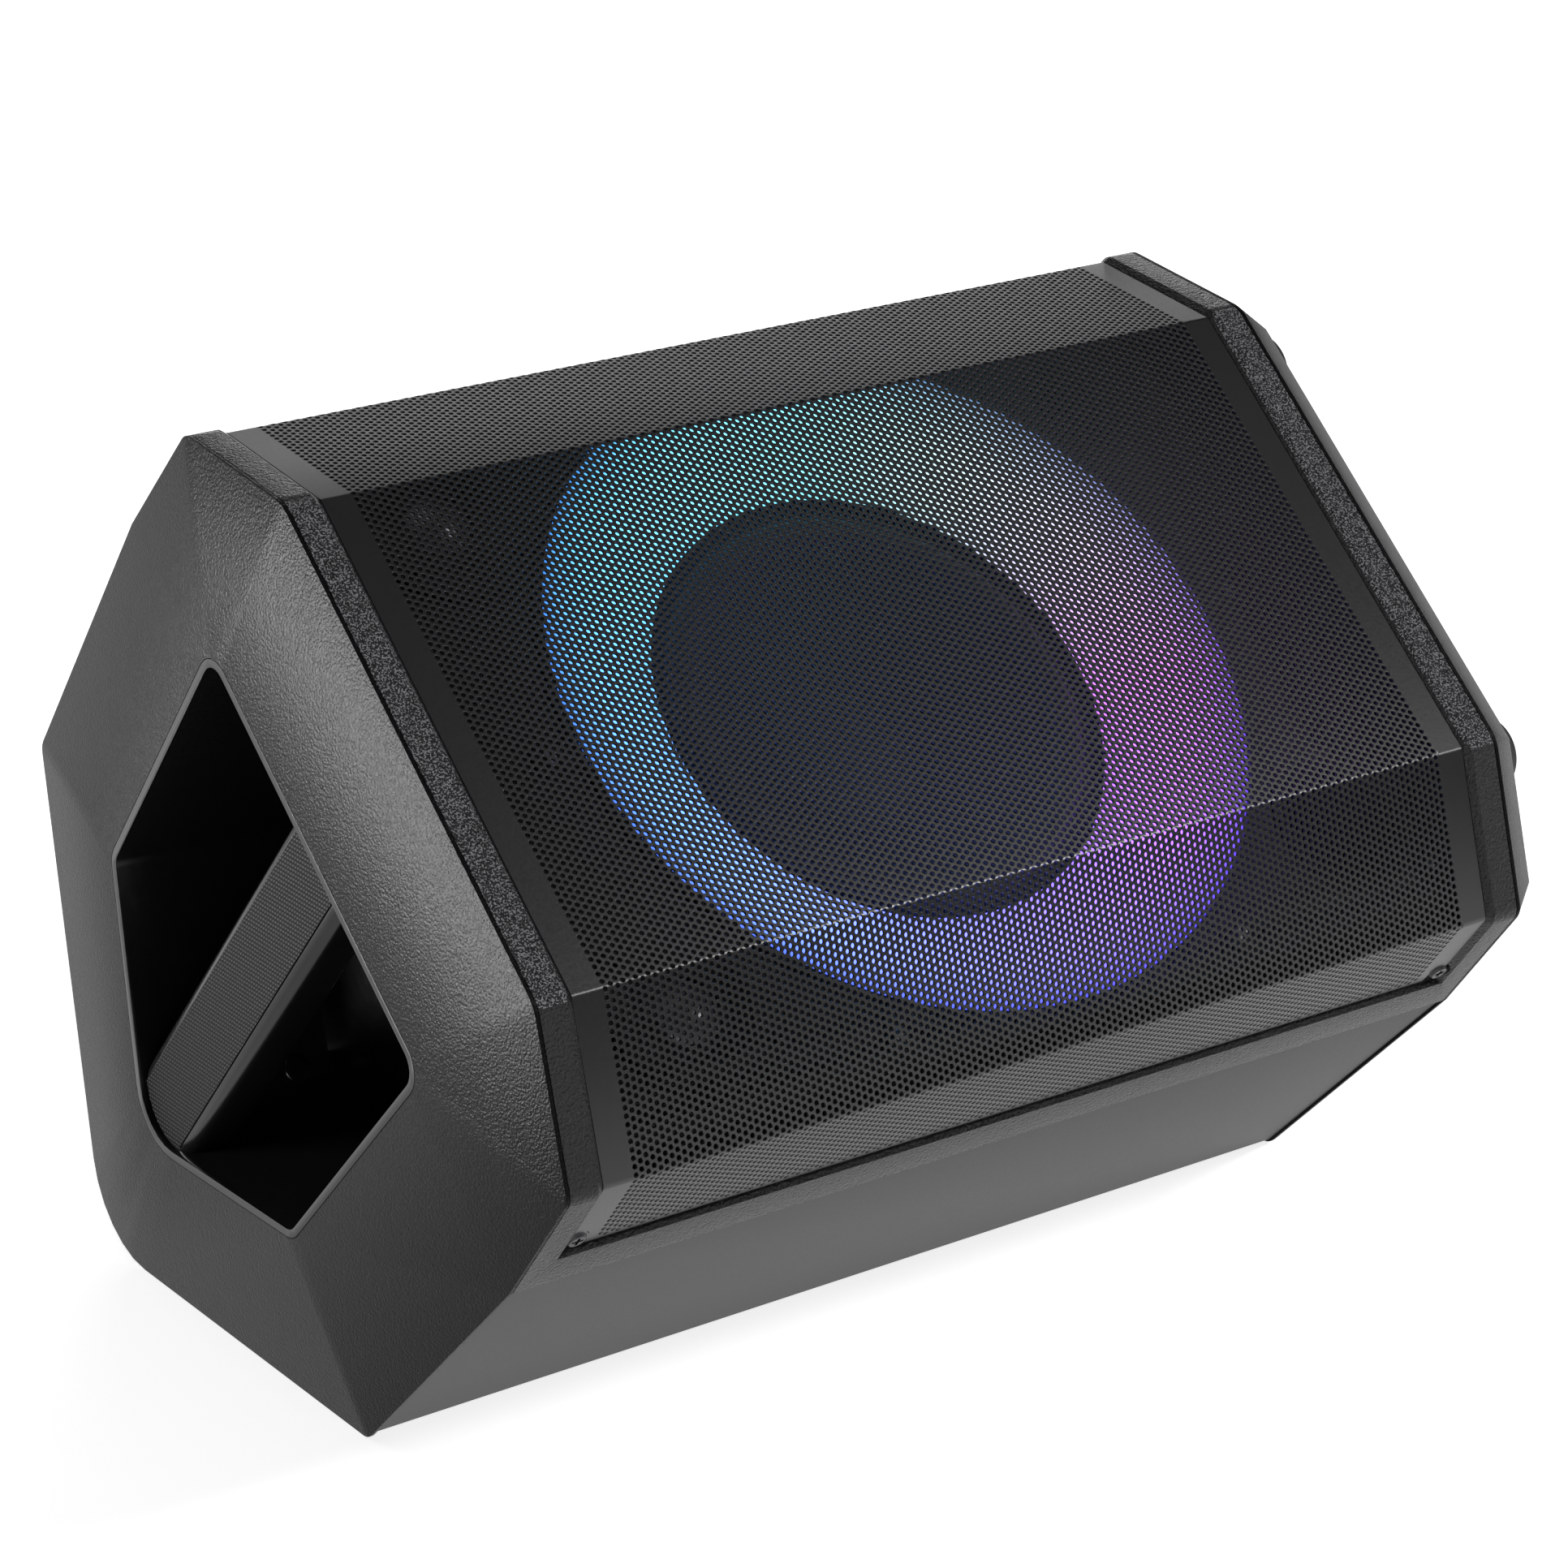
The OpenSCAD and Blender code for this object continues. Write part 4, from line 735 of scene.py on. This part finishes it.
def soft_disc(node, outer_r, inner_r, paint):
    """The node's own shape, its outer edge fixed to the body while its inner edge follows the
    cone: the share of the cone's travel is the smooth step of t = (outer - r) / (outer - inner),
    3 t^2 - 2 t^3, with r the distance from the woofer's axis."""
    mesh = nodes[node].data.copy()
    mesh.name = node + "_soft"
    work = bmesh.new()
    work.from_mesh(mesh)
    bmesh.ops.remove_doubles(work, verts=work.verts, dist=2e-6)
    work.to_mesh(mesh)
    work.free()
    mesh.polygons.foreach_set("use_smooth", np.ones(len(mesh.polygons), bool))
    mesh.set_sharp_from_angle(angle=math.radians(40))
    piece = bpy.data.objects.new(node + "_soft", mesh)
    bpy.context.scene.collection.objects.link(piece)
    dress(paint, piece)
    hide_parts(node)
    centre = placed(woofer_x, 0, 0)
    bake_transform(piece, "speaker_body", "cone_assembly", start=tuple(centre + across * outer_r / 1000),
             end=tuple(centre + across * inner_r / 1000))
    places = np.zeros(len(mesh.vertices) * 3)
    mesh.vertices.foreach_get("co", places)
    arm = places.reshape(-1, 3) - centre
    arm -= (arm @ front)[:, None] * front
    share = np.clip((outer_r - np.linalg.norm(arm, axis=1) * 1000) / (outer_r - inner_r), 0, 1)
    share = share * share * (3 - 2 * share)
    mesh.attributes["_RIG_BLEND"].data.foreach_set("value", share.astype(np.float32))


surround_outer_r, surround_inner_r = 88.0, 76.0
soft_disc("woofer_surround", surround_outer_r, surround_inner_r, rubber)
dome_film = Paint("dome_film", Base_Color=(0.25, 0.25, 0.27, 1), Metallic=0.6)
dome_film.feed("Roughness", dome_film.noise(0.002, 2.0) * 0.1 + 0.22)
dress(dome_film, "tweeter_dome_upper", "tweeter_dome_lower")
black_steel = Paint("basket_steel", Base_Color=(0.015, 0.015, 0.016, 1))
black_steel.feed("Roughness", black_steel.noise(0.002, 2.0) * 0.15 + 0.35)
dress(black_steel, "woofer_basket")
ferrite = Paint("ferrite", Base_Color=(0.035, 0.035, 0.04, 1))
ferrite.feed("Roughness", ferrite.noise(0.001, 3.0) * 0.3 + 0.45)
dress(ferrite, "woofer_magnet", "tweeter_motor_upper", "tweeter_motor_lower")
dress(zinc, "woofer_top_plate", "woofer_pole_plate")
copper = Paint("copper_wire", Base_Color=(0.72, 0.33, 0.16, 1), Metallic=1.0, Roughness=0.3)
dress(copper, "voice_coil")
spider_cloth = Paint("spider_cloth", Base_Color=(0.45, 0.28, 0.10, 1), Roughness=0.85)
spider_cloth.bump(spider_cloth.cells(0.0008), 0.0001)
spider_outer_r, spider_inner_r = 50.0, 21.0
soft_disc("woofer_spider", spider_outer_r, spider_inner_r, spider_cloth)

# ---- Rear panel ----
# A black moulded well, screwed into the cabinet's back face, and a panel in its floor with
# soft-touch knobs, keys and sockets. The boards, the supply and the battery lie behind it.
panel_black = Paint("panel_black", Base_Color=(0.016, 0.016, 0.017, 1))
panel_black.feed("Roughness", panel_black.noise(0.0007, 3.0) * 0.2 + 0.4)
dress(panel_black, "rear_panel", "panel_frame")
knob_black = Paint("knob_black", Base_Color=(0.013, 0.013, 0.014, 1))
knob_black.feed("Roughness", knob_black.noise(0.001, 2.0) * 0.15 + 0.45)
dress(knob_black, "volume_knob", "mic_knob", "bass_knob")
key_grey = Paint("key_grey", Base_Color=(0.05, 0.05, 0.054, 1))
key_grey.feed("Roughness", key_grey.noise(0.001, 2.0) * 0.15 + 0.4)
dress(key_grey, "power_button", "light_button", "pairing_button")
gloss_black = Paint("gloss_black", Base_Color=(0.008, 0.008, 0.009, 1), Roughness=0.18)
dress(gloss_black, "input_jacks", "mains_inlet", "usb_socket")
tin = Paint("tin_shell", Base_Color=(0.6, 0.6, 0.62, 1), Metallic=1.0, Roughness=0.25)
dress(tin, "power_supply")
board_green = Paint("green_board", Base_Color=(0.02, 0.16, 0.07, 1), Roughness=0.4)
dress(board_green, "control_board", "amplifier_board")
wrap_blue = Paint("battery_wrap", Base_Color=(0.03, 0.10, 0.28, 1), Roughness=0.4)
dress(wrap_blue, "battery_pack")

# ---- Sizes and image points ----
# Where each named thing falls in the image, in x and y.
depsgraph = bpy.context.evaluated_depsgraph_get()


def shown_vertices(piece):
    """World places of a finished piece's vertices, modifiers included."""
    mesh = piece.evaluated_get(depsgraph).to_mesh()
    flat = np.zeros(len(mesh.vertices) * 3, np.float32)
    mesh.vertices.foreach_get("co", flat)
    return flat.reshape(-1, 3)


all_seen = in_image(np.concatenate([shown_vertices(p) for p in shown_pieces() if not p.hide_render]))
found = {
    "left_edge_x": all_seen[:, 0].min(),
    "right_edge_x": all_seen[:, 0].max(),
    "top_edge_y": all_seen[:, 1].min(),
    "bottom_edge_y": all_seen[:, 1].max(),
    "cap_front_upper_corner": in_image(placed(0, 105, 379.4))[0],
    "cap_front_lower_corner": in_image(placed(0, -105, 379.4))[0],
    "cap_shoulder_corner": in_image(placed(0, -162.4, 341))[0],
    "cap_floor_corner": in_image(placed(0, -156.1, 134.3))[0],
    "cap_back_corner": in_image(placed(0, 156.1, 134.3))[0],
    "pocket_front_upper_corner": in_image(placed(-11.7, 90, 309))[0],
    "pocket_front_lower_corner": in_image(placed(-11.7, -90, 309))[0],
    "pocket_low_corner": in_image(placed(-11.7, -83.6, 172.4))[0],
    "near_grille_screw": in_image(placed(screw_in, -162.7, 304))[0],
    "far_grille_screw": in_image(placed(body_len - screw_in, -162.7, 304))[0],
}
lens_seen = in_image(shown_vertices(nodes["ring_lens"]))
ring_turn = np.radians(np.arange(0, 360, 2))
inner = in_image(placed(woofer_x + 94.5 * np.cos(ring_turn), 94.5 * np.sin(ring_turn), 322))
found["light_ring_inner_left_x"] = inner[:, 0].min()
found["light_ring_inner_bottom_y"] = inner[:, 1].max()
found["light_ring_outer_right_x"] = lens_seen[:, 0].max()
